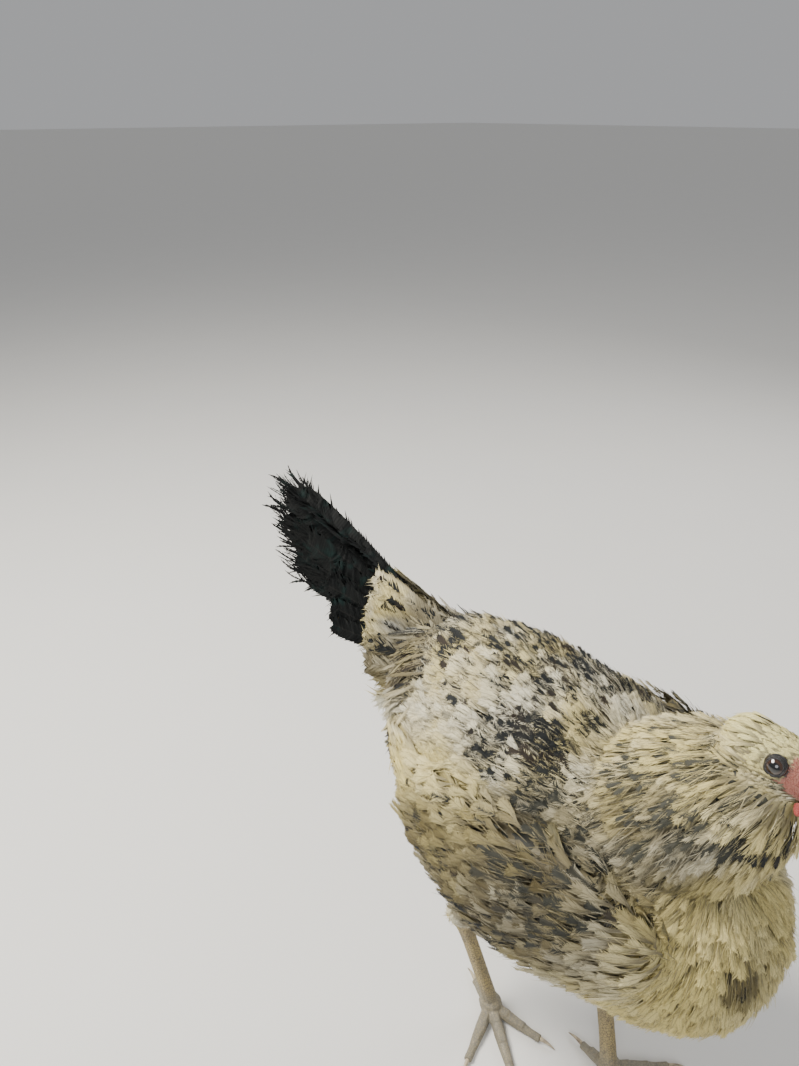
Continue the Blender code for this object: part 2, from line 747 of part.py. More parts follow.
def tail_vane(feathers, side, share):
    """One tail feather of a set, from its root back and up to its tip."""
    root = at(feathers["forward"], side * mix(*feathers["left"], share), mix(*feathers["up"], share))
    rise = mix(*feathers["rise"], share)
    turn = TAIL_TURN - side * mix(*feathers["spread"], share)
    heading = at(-math.cos(rise) * math.cos(turn), -math.cos(rise) * math.sin(turn), math.sin(rise))
    length = varied(mix(*feathers["length"], share))
    droop = mix(*feathers["droop"], share)
    points = [root + heading * (length * reach) - Z_AXIS * (droop * reach ** 2)
              for reach in vane_shares(feathers["steps"])]
    normals = shingled([X_AXIS * side] * len(points), points, feathers["tilt"])
    return make_vane(points, normals, feathers["width"], 0.30, 0.40)


def build_tail(torso):
    rows = [curve_row(TAIL_CORE, share) for share in shares(TAIL_RINGS)]
    centres = [at(row[0], row[1], row[2]) for row in rows]
    rings = path_rings(centres, [row[3] for row in rows], [row[4] for row in rows], TAIL_SIDES, X_AXIS)
    tail = make_object("tail", loft(rings), BLACK, ROUGHNESS["black feather"])
    vanes = []
    for _, side in SIDES:
        for feathers in TAIL_SETS:
            vanes.extend(tail_vane(feathers, side, share) for share in shares(feathers["count"]))
    combine(tail, "UNION", vanes, "MANIFOLD")
    combine(tail, "DIFFERENCE", [inflated(torso)])


# Legs

def leg_point(mark, side, name):
    forward, outward, up = LEGS[mark][name]
    return at(forward, side * outward, up)


def build_thigh(mark, side, torso):
    """The feathered thigh from inside the torso down to the hock."""
    knee = leg_point(mark, side, "knee")
    hock = leg_point(mark, side, "hock")
    centres = [knee.lerp(hock, share) + Z_AXIS * THIGH_RISE * (1 - share) for share in shares(THIGH_RINGS)]
    depths = [mix(THIGH_TOP, THIGH_LOW, share ** 1.35) for share in shares(THIGH_RINGS)]
    widths = [depth * THIGH_FLATNESS for depth in depths]
    thigh = make_object("thigh_" + mark, loft(path_rings(centres, widths, depths, THIGH_SIDES, X_AXIS)))
    combine(thigh, "DIFFERENCE", [inflated(torso)])
    return thigh


def scute_mesh(centre, along, out, side, half_width, half_length, rise):
    """One raised plate across a shank or toe, higher at its far edge."""
    rings = []
    for step, lift in ((-1, 0.2), (1, 1.0)):
        middle = centre + along * half_length * step
        top = out * rise * 0.4 * lift
        foot = out * rise * 3.0
        flank = side * half_width
        crown = flank * 0.55
        rings.append([middle - flank - foot, middle - crown + top,
                      middle + crown + top, middle + flank - foot])
    return loft(rings)


def build_shank(mark, side, thigh):
    """The bare shank with its knobbed hock and a row of plates down its front."""
    hock = leg_point(mark, side, "hock")
    foot = leg_point(mark, side, "foot")
    centres = []
    radii = []
    for share in shares(SHANK_RINGS):
        centres.append(hock.lerp(foot, share))
        joint = math.exp(-(share / 0.16) ** 2) * (HOCK_RADIUS - SHANK_RADIUS)
        ankle = math.exp(-((1 - share) / 0.14) ** 2) * ANKLE_SWELL
        radii.append(SHANK_RADIUS + joint + ankle)
    widths = [radius * 0.92 for radius in radii]
    depths = [radius * 1.06 for radius in radii]
    shank = make_object("shank_" + mark, loft(path_rings(centres, widths, depths, LEG_SIDES, X_AXIS)),
                        LEG_OLIVE, ROUGHNESS["scales"])
    along = (foot - hock).normalized()
    out = (-Y_AXIS + along * Y_AXIS.dot(along)).normalized()
    sideways = along.cross(out).normalized()
    pieces = [ball("hock", HOCK_RADIUS, Matrix.Translation(hock), 10, 6)]
    for share in shares(SHANK_SCUTES):
        centre = hock.lerp(foot, mix(0.14, 0.90, share)) + out * SHANK_RADIUS * 1.06
        plate = scute_mesh(centre, along, out, sideways, **SHANK_SCUTE)
        pieces.append(make_object("plate", plate))
    combine(shank, "UNION", pieces)
    combine(shank, "DIFFERENCE", [inflated(thigh)])
    return shank


def toe_path(start, heading, length):
    """Centre line of a toe that comes down to the floor, and its knuckled radius at each step."""
    points = []
    radii = []
    for share in shares(TOE_STEPS):
        radius = TOE_RADIUS * mix(1.15, 0.62, share) * (1 + 0.10 * math.cos(share * math.tau * 3))
        height = mix(start.z, radius * 0.80, min(1.0, share * 2.2))
        spot = start + heading * length * share
        points.append(Vector((spot.x, spot.y, height)))
        radii.append(radius)
    return points, radii


def toe_scutes(points, radii, heading, sideways, length):
    """Plates along the top of a toe."""
    plates = []
    number = max(2, round(length / TOE_SCUTE_PITCH))
    for share in shares(number):
        distance = mix(TOE_SCUTE_FIRST, length - TOE_SCUTE_END, share)
        reach = distance / length * (len(points) - 1)
        low = min(int(reach), len(points) - 2)
        radius = mix(radii[low], radii[low + 1], reach - low)
        centre = points[low].lerp(points[low + 1], reach - low) + Z_AXIS * radius * 0.93
        plates.append(make_object("plate", scute_mesh(centre, heading, Z_AXIS, sideways, radius * 0.88,
                                                      **TOE_SCUTE)))
    return plates


def build_foot(mark, side, shank):
    """Foot with four toes, cut flat at the floor, and a claw before the end of each toe."""
    base = leg_point(mark, side, "foot")
    base.z = FOOT_LEVEL
    foot = ball("foot_" + mark, 1.0, Matrix.Translation(base) @ stretched(FOOT_BALL), 10, 6,
                LEG_OLIVE, ROUGHNESS["scales"])
    pieces = []
    for name, spread, length in TOES:
        turn = spread + LEGS[mark]["turn"]
        heading = at(math.cos(turn), side * math.sin(turn), 0)
        sideways = Z_AXIS.cross(heading)
        points, radii = toe_path(base - Z_AXIS * TOE_DROP, heading, length)
        depths = [radius * 0.95 for radius in radii]
        pieces.append(make_object("toe", loft(path_rings(points, radii, depths, TOE_SIDES, sideways))))
        pieces.extend(toe_scutes(points, radii, heading, sideways, length))
        build_claw("claw_" + mark + "_" + name, points[-1], heading, radii[-1])
    combine(foot, "UNION", pieces)
    floor = bmesh.new()
    bmesh.ops.create_cube(floor, size=1.0, matrix=Matrix.Translation((0, 0, -0.5)))
    combine(foot, "DIFFERENCE", [make_object("floor", floor)])
    combine(shank, "DIFFERENCE", [inflated(foot)])


def build_claw(name, start, heading, radius):
    """A curved claw that leaves the toe's end level and drops to the floor."""
    centres = []
    sizes = []
    for share in shares(CLAW_STEPS):
        arch = math.sin(math.pi * min(1.0, share * 1.05)) * CLAW_ARCH
        height = mix(0.0006, 0.0012 - start.z, share ** 1.3) + arch
        centres.append(start + heading * (GAP + CLAW_LENGTH * share) + Z_AXIS * height)
        sizes.append(mix(radius * 0.66, CLAW_TIP, share ** 1.2))
    widths = [size * 0.8 for size in sizes]
    rings = path_rings(centres, widths, sizes, CLAW_SIDES, Z_AXIS.cross(heading))
    for ring in rings:
        for point in ring:
            point.z = max(point.z, 0.0)
    make_object(name, loft(rings), HORN, ROUGHNESS["horn"])


def centre_on_floor():
    """Move everything so that the middle of the box at floor level is the origin."""
    corners = [vert.co for item in bpy.data.objects for vert in item.data.vertices]
    low = [min(corner[axis] for corner in corners) for axis in range(3)]
    high = [max(corner[axis] for corner in corners) for axis in range(3)]
    shift = Vector((-(low[0] + high[0]) / 2, -(low[1] + high[1]) / 2, -low[2]))
    for item in bpy.data.objects:
        item.data.transform(Matrix.Translation(shift))


def main():
    clear_scene()
    torso = build_torso()
    wings = [build_wing(mark, side, torso) for mark, side in SIDES]
    build_tail(torso)
    neck = build_neck()
    place = head_matrix()
    head, head_room = build_head(place)
    upper, lower = build_beak(place)
    build_comb(place, head, upper)
    build_wattles(place, [head, upper, lower, neck])
    build_hackles(neck, [torso, neck] + wings)
    combine(neck, "DIFFERENCE", [inflated(torso), head_room])
    for mark, side in SIDES:
        thigh = build_thigh(mark, side, torso)
        shank = build_shank(mark, side, thigh)
        build_foot(mark, side, shank)
    centre_on_floor()


main()
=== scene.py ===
"""The looks of a still, life-size desi hen: one skin under a coat of feathers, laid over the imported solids.

Lengths are metres. The hen looks along -Y, its left side is +X and +Z is up.
"""

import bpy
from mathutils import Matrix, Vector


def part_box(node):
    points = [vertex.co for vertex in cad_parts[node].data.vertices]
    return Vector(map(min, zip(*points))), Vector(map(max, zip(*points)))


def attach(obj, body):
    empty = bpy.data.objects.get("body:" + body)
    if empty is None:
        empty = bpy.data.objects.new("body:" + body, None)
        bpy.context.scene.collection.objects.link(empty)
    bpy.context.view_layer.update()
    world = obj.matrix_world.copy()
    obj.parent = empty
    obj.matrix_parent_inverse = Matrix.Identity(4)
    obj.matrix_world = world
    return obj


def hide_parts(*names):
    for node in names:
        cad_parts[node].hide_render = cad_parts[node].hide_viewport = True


bl_info = {
    "name": "Desi hen model",
    "version": (1, 0, 0),
    "blender": (4, 5, 0),
    "location": "3D View > Sidebar > Hen",
    "description": "Dresses the packed hen in skin, feathers, eyes, comb and scaly legs",
    "category": "Object",
}

import itertools
import math
import random
from functools import cache

import bmesh
import bpy
import numpy as np
from bpy.props import FloatProperty, FloatVectorProperty, IntProperty, PointerProperty
from mathutils import Matrix, Vector
from mathutils.bvhtree import BVHTree

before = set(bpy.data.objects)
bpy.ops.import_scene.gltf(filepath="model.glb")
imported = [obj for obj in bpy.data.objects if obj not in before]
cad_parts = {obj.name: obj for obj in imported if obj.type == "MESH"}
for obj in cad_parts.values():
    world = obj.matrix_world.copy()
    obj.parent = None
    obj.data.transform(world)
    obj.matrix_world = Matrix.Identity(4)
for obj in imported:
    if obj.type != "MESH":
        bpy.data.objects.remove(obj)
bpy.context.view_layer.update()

X_AXIS = Vector((1, 0, 0))
Z_AXIS = Vector((0, 0, 1))
SIDES = (("L", 1), ("R", -1))
SEED = 7
WHITE = (1.0, 1.0, 1.0)


# Places shared with the solids

HEAD_PLACE = (0.0985, 0.0, 0.360)
HEAD_DIP = math.radians(8)
HEAD_ROLL = math.radians(22)
EYE_OUT = 0.0108
EYE_FORWARD = 0.0015


def plain(forward, left, up):
    return Vector((left, -forward, up))


def head_turn():
    return Matrix.Rotation(HEAD_DIP, 4, "X") @ Matrix.Rotation(HEAD_ROLL, 4, "Y")


def middle(node):
    low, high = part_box(node)
    return (low + high) / 2


EYE_AT = plain(*HEAD_PLACE) + head_turn() @ plain(EYE_FORWARD, -EYE_OUT, 0)
SHIFT = middle("eye_R") - EYE_AT
SHIFT.z = 0


def at(forward, left, up):
    """A point given by its distances forward, to the left and up."""
    return plain(forward, left, up) + SHIFT


HEAD_MATRIX = Matrix.Translation(at(*HEAD_PLACE)) @ head_turn()


# Body stations, as in the solids

TORSO = (  # forward, half width, top, bottom
    (-0.156, 0.012, 0.292, 0.262),
    (-0.147, 0.032, 0.311, 0.226),
    (-0.118, 0.057, 0.328, 0.184),
    (-0.072, 0.075, 0.335, 0.158),
    (-0.015, 0.082, 0.331, 0.146),
    (0.040, 0.079, 0.316, 0.143),
    (0.080, 0.067, 0.296, 0.153),
    (0.107, 0.049, 0.270, 0.170),
    (0.120, 0.026, 0.240, 0.194),
)
NECK = (  # forward, up, half width, half depth
    (0.014, 0.238, 0.066, 0.052),
    (0.038, 0.273, 0.060, 0.052),
    (0.063, 0.301, 0.046, 0.048),
    (0.081, 0.325, 0.035, 0.040),
    (0.091, 0.341, 0.0265, 0.031),
    (0.096, 0.352, 0.0190, 0.021),
)
HEAD = (  # forward, half width, top, bottom, from the head's own middle
    (-0.0240, 0.0085, 0.0060, -0.0130),
    (-0.0155, 0.0137, 0.0112, -0.0172),
    (-0.0050, 0.0152, 0.0132, -0.0184),
    (0.0050, 0.0142, 0.0128, -0.0174),
    (0.0130, 0.0111, 0.0105, -0.0149),
    (0.0190, 0.0078, 0.0078, -0.0118),
    (0.0225, 0.0064, 0.0062, -0.0097),
)
WING_CORE = (  # forward, up, half height, outward, half thickness
    (0.084, 0.246, 0.008, 0.055, 0.006),
    (0.074, 0.246, 0.024, 0.060, 0.012),
    (0.045, 0.245, 0.036, 0.068, 0.015),
    (0.005, 0.243, 0.042, 0.074, 0.014),
    (-0.040, 0.242, 0.038, 0.072, 0.012),
    (-0.080, 0.241, 0.026, 0.065, 0.009),
    (-0.100, 0.241, 0.015, 0.057, 0.006),
)
TAIL_CORE = (  # forward, left, up, half width, half depth
    (-0.110, 0.000, 0.290, 0.026, 0.024),
    (-0.140, 0.000, 0.293, 0.027, 0.026),
    (-0.165, -0.003, 0.300, 0.017, 0.022),
    (-0.185, -0.006, 0.308, 0.008, 0.014),
    (-0.194, -0.007, 0.312, 0.003, 0.006),
)
LEGS = {  # ankle and knee: forward, outward, up
    "L": ((0.010, 0.026, 0.096), (0.040, 0.039, 0.174)),
    "R": ((-0.078, 0.030, 0.094), (-0.022, 0.040, 0.172)),
}
THIGH_LOW = 0.0098
THIGH_TOP = 0.037
THIGH_SHARES = (0.0, 0.2, 0.4, 0.6, 0.8, 1.0)
KNEE_COVER = 0.020
RING_SIDES = 40
THINNEST = 0.002
THINNEST_PATH = 0.0015
MERGE_GAP = 1e-6
SKIN_VOXEL = 0.0018
COAT_DEPTH = {"torso": 0.0070, "neck": 0.0055, "head": 0.0006, "thigh": 0.0055, "wing": 0.0010, "tail": 0.0050}


# Sizes and colours that a user may change before making the pieces

def length_of(name, description, default):
    return FloatProperty(name=name, description=description, default=default, min=0.0005, max=0.2,
                         precision=4, subtype="DISTANCE", unit="LENGTH")


def colour_of(name, description, default):
    return FloatVectorProperty(name=name, description=description, default=default, min=0.0, max=1.0,
                               size=3, subtype="COLOR")


class HenSizes(bpy.types.PropertyGroup):
    """Sizes of the hen's coat"""
    feather_length: length_of("Feather length", "Length of the small body feathers", 0.018)
    feather_width: length_of("Feather width", "Width of the small body feathers", 0.0076)
    feather_step: length_of("Feather step", "Distance between the roots of the small body feathers", 0.0030)
    down_length: length_of("Fluff length", "Length of the loose feathers of belly and thighs", 0.022)
    hackle_length: length_of("Hackle length", "Length of the upper neck feathers", 0.022)
    cape_length: length_of("Cape length", "Length of the long feathers at the foot of the neck", 0.036)
    face_length: length_of("Face feather length", "Length of the smallest feathers, round the face", 0.0052)
    barb_length: length_of("Loose barb length", "Length of the fine loose barbs on the coat", 0.0105)
    torn_ends: IntProperty(name="Torn ends", description="Number of loose barbs at the tips of the tail feathers",
                           default=620, min=0, max=2000)


class HenColours(bpy.types.PropertyGroup):
    """Colours of the hen"""
    cream: colour_of("Cream", "Ground colour of the plumage", (0.82, 0.72, 0.36))
    pale: colour_of("Pale", "Lightest ground colour, on the back", (0.93, 0.90, 0.74))
    yellow: colour_of("Yellow", "Ground colour of breast, wings and crown", (0.82, 0.70, 0.27))
    # Lemon is the crown's more saturated yellow, made brighter too: painted light where the window light falls on
    # the crown
    lemon_and_light: colour_of("Lemon", "Bright ground colour of the crown", (1.00, 0.93, 0.46))
    # Buff is the flanks' own buff-brown, set darker so that it also paints the shade on lower flank, thighs, cape
    # and lower neck
    buff_and_shade: colour_of("Buff", "Ground colour of the shaggy flanks", (0.130, 0.106, 0.050))
    umber: colour_of("Umber", "Fine streaks and pencilled edges", (0.13, 0.105, 0.055))
    # Down is the grey base of each feather; darkening the feathers towards their roots, it also paints the shade
    # between overlapping feathers
    down: colour_of("Down", "Base of each feather", (0.17, 0.15, 0.10))
    vane_grey: colour_of("Vane grey", "Bare grey vane at the root of the tail", (0.42, 0.42, 0.38))
    olive_grey: colour_of("Olive grey", "Soft dark marks of the neck", (0.070, 0.070, 0.052))
    charcoal: colour_of("Charcoal", "Black marks of the back", (0.012, 0.014, 0.014))
    brown_black: colour_of("Brown black", "Browner ones of the black marks", (0.030, 0.021, 0.013))
    tail_black: colour_of("Tail black", "Ground colour of tail and flight feathers", (0.008, 0.009, 0.009))
    tail_sheen: colour_of("Tail sheen", "Blue-green gloss of the black feathers", (0.008, 0.024, 0.022))
    face_light: colour_of("Face, light", "Lighter tone of the bare face", (0.44, 0.20, 0.15))
    face_dark: colour_of("Face, dark", "Darker tone of the bare face", (0.29, 0.095, 0.070))
    comb_light: colour_of("Comb, light", "Lighter tone of comb and wattles", (0.50, 0.125, 0.095))
    comb_dark: colour_of("Comb, dark", "Darker tone of comb and wattles", (0.30, 0.048, 0.040))
    eye_skin: colour_of("Eye skin", "Skin round the eye", (0.050, 0.046, 0.044))
    iris_light: colour_of("Iris, light", "Lighter rays of the iris", (0.055, 0.022, 0.009))
    iris_dark: colour_of("Iris, dark", "Darker ground of the iris", (0.018, 0.008, 0.004))
    horn_light: colour_of("Horn, light", "Lighter tone of beak and claws", (0.60, 0.52, 0.37))
    horn_dark: colour_of("Horn, dark", "Darker tone of beak and claws", (0.30, 0.24, 0.15))
    leg: colour_of("Leg", "Scales of legs and feet", (0.40, 0.31, 0.13))
    floor: colour_of("Floor", "Floor of the stage", (0.80, 0.79, 0.76))


def size(name):
    """One of the sizes that the user may change."""
    return getattr(bpy.context.scene.hen_sizes, name)


def colour(name):
    """One of the colours that the user may change."""
    return tuple(getattr(bpy.context.scene.hen_colours, name))


# Meshes from operators

def between(low, high, share):
    return low + (high - low) * share


def read(items, key, width, kind=np.float32):
    """One attribute of a mesh's elements, as rows."""
    values = np.empty(len(items) * width, kind)
    items.foreach_get(key, values)
    return values.reshape(-1, width)


def write(items, key, values, kind=np.float32):
    """Sets one attribute of a mesh's elements from rows."""
    items.foreach_set(key, np.asarray(values).astype(kind).reshape(-1))


def add_object(name, data):
    """Puts a new object in the scene, at the origin."""
    made = bpy.data.objects.new(name, data)
    bpy.context.scene.collection.objects.link(made)
    return made


def dress(piece, material, slot, *nodes):
    """Gives a piece its material and body, and hides the solids that it stands for."""
    piece.data.materials.append(material)
    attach(piece, "root")
    if nodes:
        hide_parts(*nodes)


def finish_mesh(name, bm):
    """Turns a bmesh into a named, smooth object."""
    bmesh.ops.remove_doubles(bm, verts=bm.verts, dist=MERGE_GAP)
    bmesh.ops.recalc_face_normals(bm, faces=bm.faces)
    mesh = bpy.data.meshes.new(name)
    bm.to_mesh(mesh)
    bm.free()
    for face in mesh.polygons:
        face.use_smooth = True
    return add_object(name, mesh)


def ring_frame(centre, side, up, half_width, half_height):
    """The matrix that lays a unit circle across a body at one station."""
    along = side.cross(up).normalized()
    matrix = Matrix((side * half_width, up * half_height, along)).transposed().to_4x4()
    matrix.translation = centre
    return matrix


def loft(bm, frames):
    """Bridges circles laid by the given matrices into one closed body."""
    rings = []
    for index, matrix in enumerate(frames):
        ends = index in (0, len(frames) - 1)
        made = bmesh.ops.create_circle(bm, cap_ends=ends, segments=RING_SIDES, radius=1.0, matrix=matrix)
        edges = {edge for vert in made["verts"] for edge in vert.link_edges
                 if len(edge.link_faces) == int(ends)}
        rings.append(list(edges))
    for first, second in zip(rings, rings[1:]):
        bmesh.ops.bridge_loops(bm, edges=first + second)


def level_frames(rows, less, place=at):
    """Circles across a level body, from rows of forward, half width, top and bottom."""
    frames = []
    for forward, half_width, top, bottom in rows:
        centre = place(forward, 0, (top + bottom) / 2)
        half_height = max((top - bottom) / 2 - less, THINNEST)
        frames.append(ring_frame(centre, X_AXIS, Z_AXIS, max(half_width - less, THINNEST), half_height))
    return frames


def path_frames(rows, less):
    """Circles across a body along a bent line, from rows of centre, half width and half depth."""
    frames = []
    for index, (centre, half_width, half_depth) in enumerate(rows):
        along = (rows[min(index + 1, len(rows) - 1)][0] - rows[max(index - 1, 0)][0]).normalized()
        up = along.cross(X_AXIS).normalized()
        side = up.cross(along).normalized()
        half_width, half_depth = (max(half - less, THINNEST_PATH) for half in (half_width, half_depth))
        frames.append(ring_frame(centre, side, up, half_width, half_depth))
    return frames


def wing_frames(side, less):
    """Circles across the folded wing."""
    return [ring_frame(at(forward, side * out, up), X_AXIS, Z_AXIS, max(half_thick - less, THINNEST),
                       half_height - less)
            for forward, up, half_height, out, half_thick in WING_CORE]


def thigh_frames(mark, side, less):
    """Circles from the ankle up into the body."""
    low, high = LEGS[mark]
    start = at(low[0], side * low[1], low[2])
    end = at(high[0], side * high[1], high[2] + KNEE_COVER)
    radii = [between(THIGH_LOW, THIGH_TOP, share ** 1.35) for share in THIGH_SHARES]
    return path_frames([(start.lerp(end, share), radius, radius * 0.95)
                        for share, radius in zip(THIGH_SHARES, radii)], less)


def body_lofts():
    """The name of each body part and the circles it is lofted through, set in by the depth of its coat."""
    less = COAT_DEPTH
    yield "torso", level_frames(TORSO, less["torso"])
    yield "neck", path_frames([(at(forward, 0, up), *halves) for forward, up, *halves in NECK], less["neck"])
    yield "head", [HEAD_MATRIX @ matrix for matrix in level_frames(HEAD, less["head"], plain)]
    for mark, side in SIDES:
        yield "thigh" + mark, thigh_frames(mark, side, less["thigh"])
    for mark, side in SIDES:
        yield "wing" + mark, wing_frames(side, less["wing"])
    yield "tail", path_frames([(at(*row[:3]), *row[3:]) for row in TAIL_CORE], less["tail"])


def remeshed(piece, voxel, smoothing, rounds):
    """Melts a piece's overlapping bodies into one even skin."""
    melt = piece.modifiers.new("melt", "REMESH")
    melt.mode, melt.voxel_size, melt.use_smooth_shade = "VOXEL", voxel, True
    soften = piece.modifiers.new("soften", "SMOOTH")
    soften.factor, soften.iterations = smoothing, rounds
    graph = bpy.context.evaluated_depsgraph_get()
    graph.update()
    old = piece.data
    mesh = bpy.data.meshes.new_from_object(piece.evaluated_get(graph))
    piece.modifiers.clear()
    piece.data = mesh
    bpy.data.meshes.remove(old)
    return piece


class Skin:
    """The finished skin's triangles, for laying feathers on."""

    def __init__(self, piece):
        mesh = piece.data
        mesh.calc_loop_triangles()
        points = read(mesh.vertices, "co", 3)
        triangles = read(mesh.loop_triangles, "vertices", 3, np.int32)
        places = read(mesh.uv_layers["skin_unwrap"].uv, "vector", 2)
        self.unwrap = places[read(mesh.loop_triangles, "loops", 3, np.int32)]
        self.tree = BVHTree.FromPolygons(points.tolist(), triangles.tolist())
        self.corners = points[triangles]
        crossed = np.cross(self.corners[:, 1] - self.corners[:, 0], self.corners[:, 2] - self.corners[:, 0])
        self.areas = np.linalg.norm(crossed, axis=1) / 2
        self.normals = crossed / np.maximum(self.areas * 2, 1e-12)[:, None]
        self.centres = self.corners.mean(axis=1)
        self.labels = self.nearest_parts()

    def nearest_parts(self):
        """The body part that each triangle belongs to."""
        names, trees = [], []
        for name, frames in body_lofts():
            bm = bmesh.new()
            loft(bm, frames)
            names.append(name)
            trees.append(BVHTree.FromBMesh(bm))
            bm.free()
        gaps = [[tree.find_nearest(centre)[3] for tree in trees] for centre in self.centres.tolist()]
        return np.array(names)[np.argmin(gaps, axis=1)]


SKIN = {}


def build_skin():
    """One even skin over torso, neck, head, thighs, wings and tail, with a map of its own."""
    bm = bmesh.new()
    for _, frames in body_lofts():
        loft(bm, frames)
    skin = remeshed(finish_mesh("skin", bm), SKIN_VOXEL, 0.5, 14)
    bpy.context.view_layer.objects.active = skin
    skin.select_set(True)
    skin.data.uv_layers.new(name="skin_unwrap")
    bpy.ops.object.mode_set(mode="EDIT")
    bpy.ops.mesh.select_all(action="SELECT")
    bpy.ops.uv.smart_project(angle_limit=math.radians(66), island_margin=0.002)
    bpy.ops.object.mode_set(mode="OBJECT")
    skin.select_set(False)
    SKIN["surface"] = Skin(skin)
    dress(skin, skin_material(), "pale_feathers", "torso", "neck", "head", "thigh_L", "thigh_R")


# Feather shapes

def feather_shape(rows, fringe, round_tip, sweep, root_width, widest, crowd=1.0, plain_share=0.0):
    """A feather of unit length and half width 1: a vane on each side of the shaft, edged with barbs.

    Its rows crowd towards the tip, and the plain share at its root has no barbs. Returns the across and along
    places of its corners, how far they sweep back, how far out on a barb each lies, and its triangles.
    """
    bm = bmesh.new()
    bmesh.ops.create_grid(bm, x_segments=2, y_segments=rows, size=1.0)
    wide = max(vert.co.x for vert in bm.verts)
    tall = max(vert.co.y for vert in bm.verts)
    bmesh.ops.scale(bm, verts=bm.verts, vec=(1 / wide, 1 / tall, 1))
    borders = [(edge, edge.verts[0].co + edge.verts[1].co) for edge in bm.edges if edge.is_boundary]
    rims = [edge for edge, both in borders if abs(both.x) > 1.5 and both.y > 4 * plain_share - 2]
    tips = [edge for edge, both in borders if both.y > 1.99]
    for edge in rims + tips:
        centre = (edge.verts[0].co + edge.verts[1].co) / 2
        step = Vector((0, fringe / 2) if edge in tips else (math.copysign(fringe, centre.x), 1 / rows)).to_3d()
        made = bmesh.ops.extrude_edge_only(bm, edges=[edge])["geom"]
        verts = [item for item in made if isinstance(item, bmesh.types.BMVert)]
        bmesh.ops.pointmerge(bm, verts=verts, merge_co=centre + step)
    bmesh.ops.triangulate(bm, faces=bm.faces)
    bm.verts.ensure_lookup_table()
    raw = np.array([vert.co[:] for vert in bm.verts])
    triangles = np.array([[vert.index for vert in face.verts] for face in bm.faces])
    down = np.array([face.normal.z for face in bm.faces]) < 0
    triangles[down] = triangles[down][:, ::-1]
    bm.free()
    even = (raw[:, 1] + 1) / 2
    along = np.where(even < 1, 1 - np.clip(1 - even, 0, 1) ** crowd, even)
    rise = np.clip(along / widest, 0, 1)
    fall = np.clip((along - widest) / (1.02 - widest), 0, 1)
    width = root_width + (1 - root_width) * np.sin(rise * math.pi / 2)
    width *= np.sqrt(np.clip(1 - fall ** 2 * (1 - round_tip ** 2), 0, 1))
    across = raw[:, 0] / (1 + fringe) * width
    barb = np.clip((np.abs(raw[:, 0]) - 1) / fringe, 0, 1) + np.clip((even - 1) / (fringe / 4), 0, 1)
    return {"across": across, "along": along, "sweep": np.abs(across) * sweep, "barb": np.clip(barb, 0, 1),
            "triangles": triangles}


KINDS = {  # rows, fringe, round tip, sweep, root width, widest place, crowding, plain share
    "contour": feather_shape(8, 1.30, 0.30, 2.30, 0.34, 0.55, 1.5, 0.30),
    "down": feather_shape(8, 2.00, 0.35, 2.60, 0.40, 0.50, 1.3, 0.20),
    "hackle": feather_shape(8, 1.30, 0.10, 3.20, 0.50, 0.36, 1.3, 0.25),
    "plume": feather_shape(30, 0.20, 0.34, 1.60, 0.45, 0.58, 1.2, 0.10),
    "fluff": feather_shape(14, 1.60, 0.25, 2.50, 0.40, 0.50, 1.2, 0.10),
    "small": feather_shape(3, 0.80, 0.30, 1.10, 0.50, 0.50),
    "strand": feather_shape(2, 0.60, 0.05, 1.20, 0.80, 0.30),
    "wisp": feather_shape(5, 0.80, 0.10, 0.90, 0.60, 0.30),
    "flight": feather_shape(40, 0.10, 0.18, 0.70, 0.45, 0.62),
    "tail": feather_shape(56, 0.09, 0.45, 0.75, 0.40, 0.75),
}
SPINE = 5
SHOWN_POINT = 3
BAKE_PATCH = 0.003
ROLL = 9.0
TIP_STARTS = 0.78
TIP_REACH = 0.34


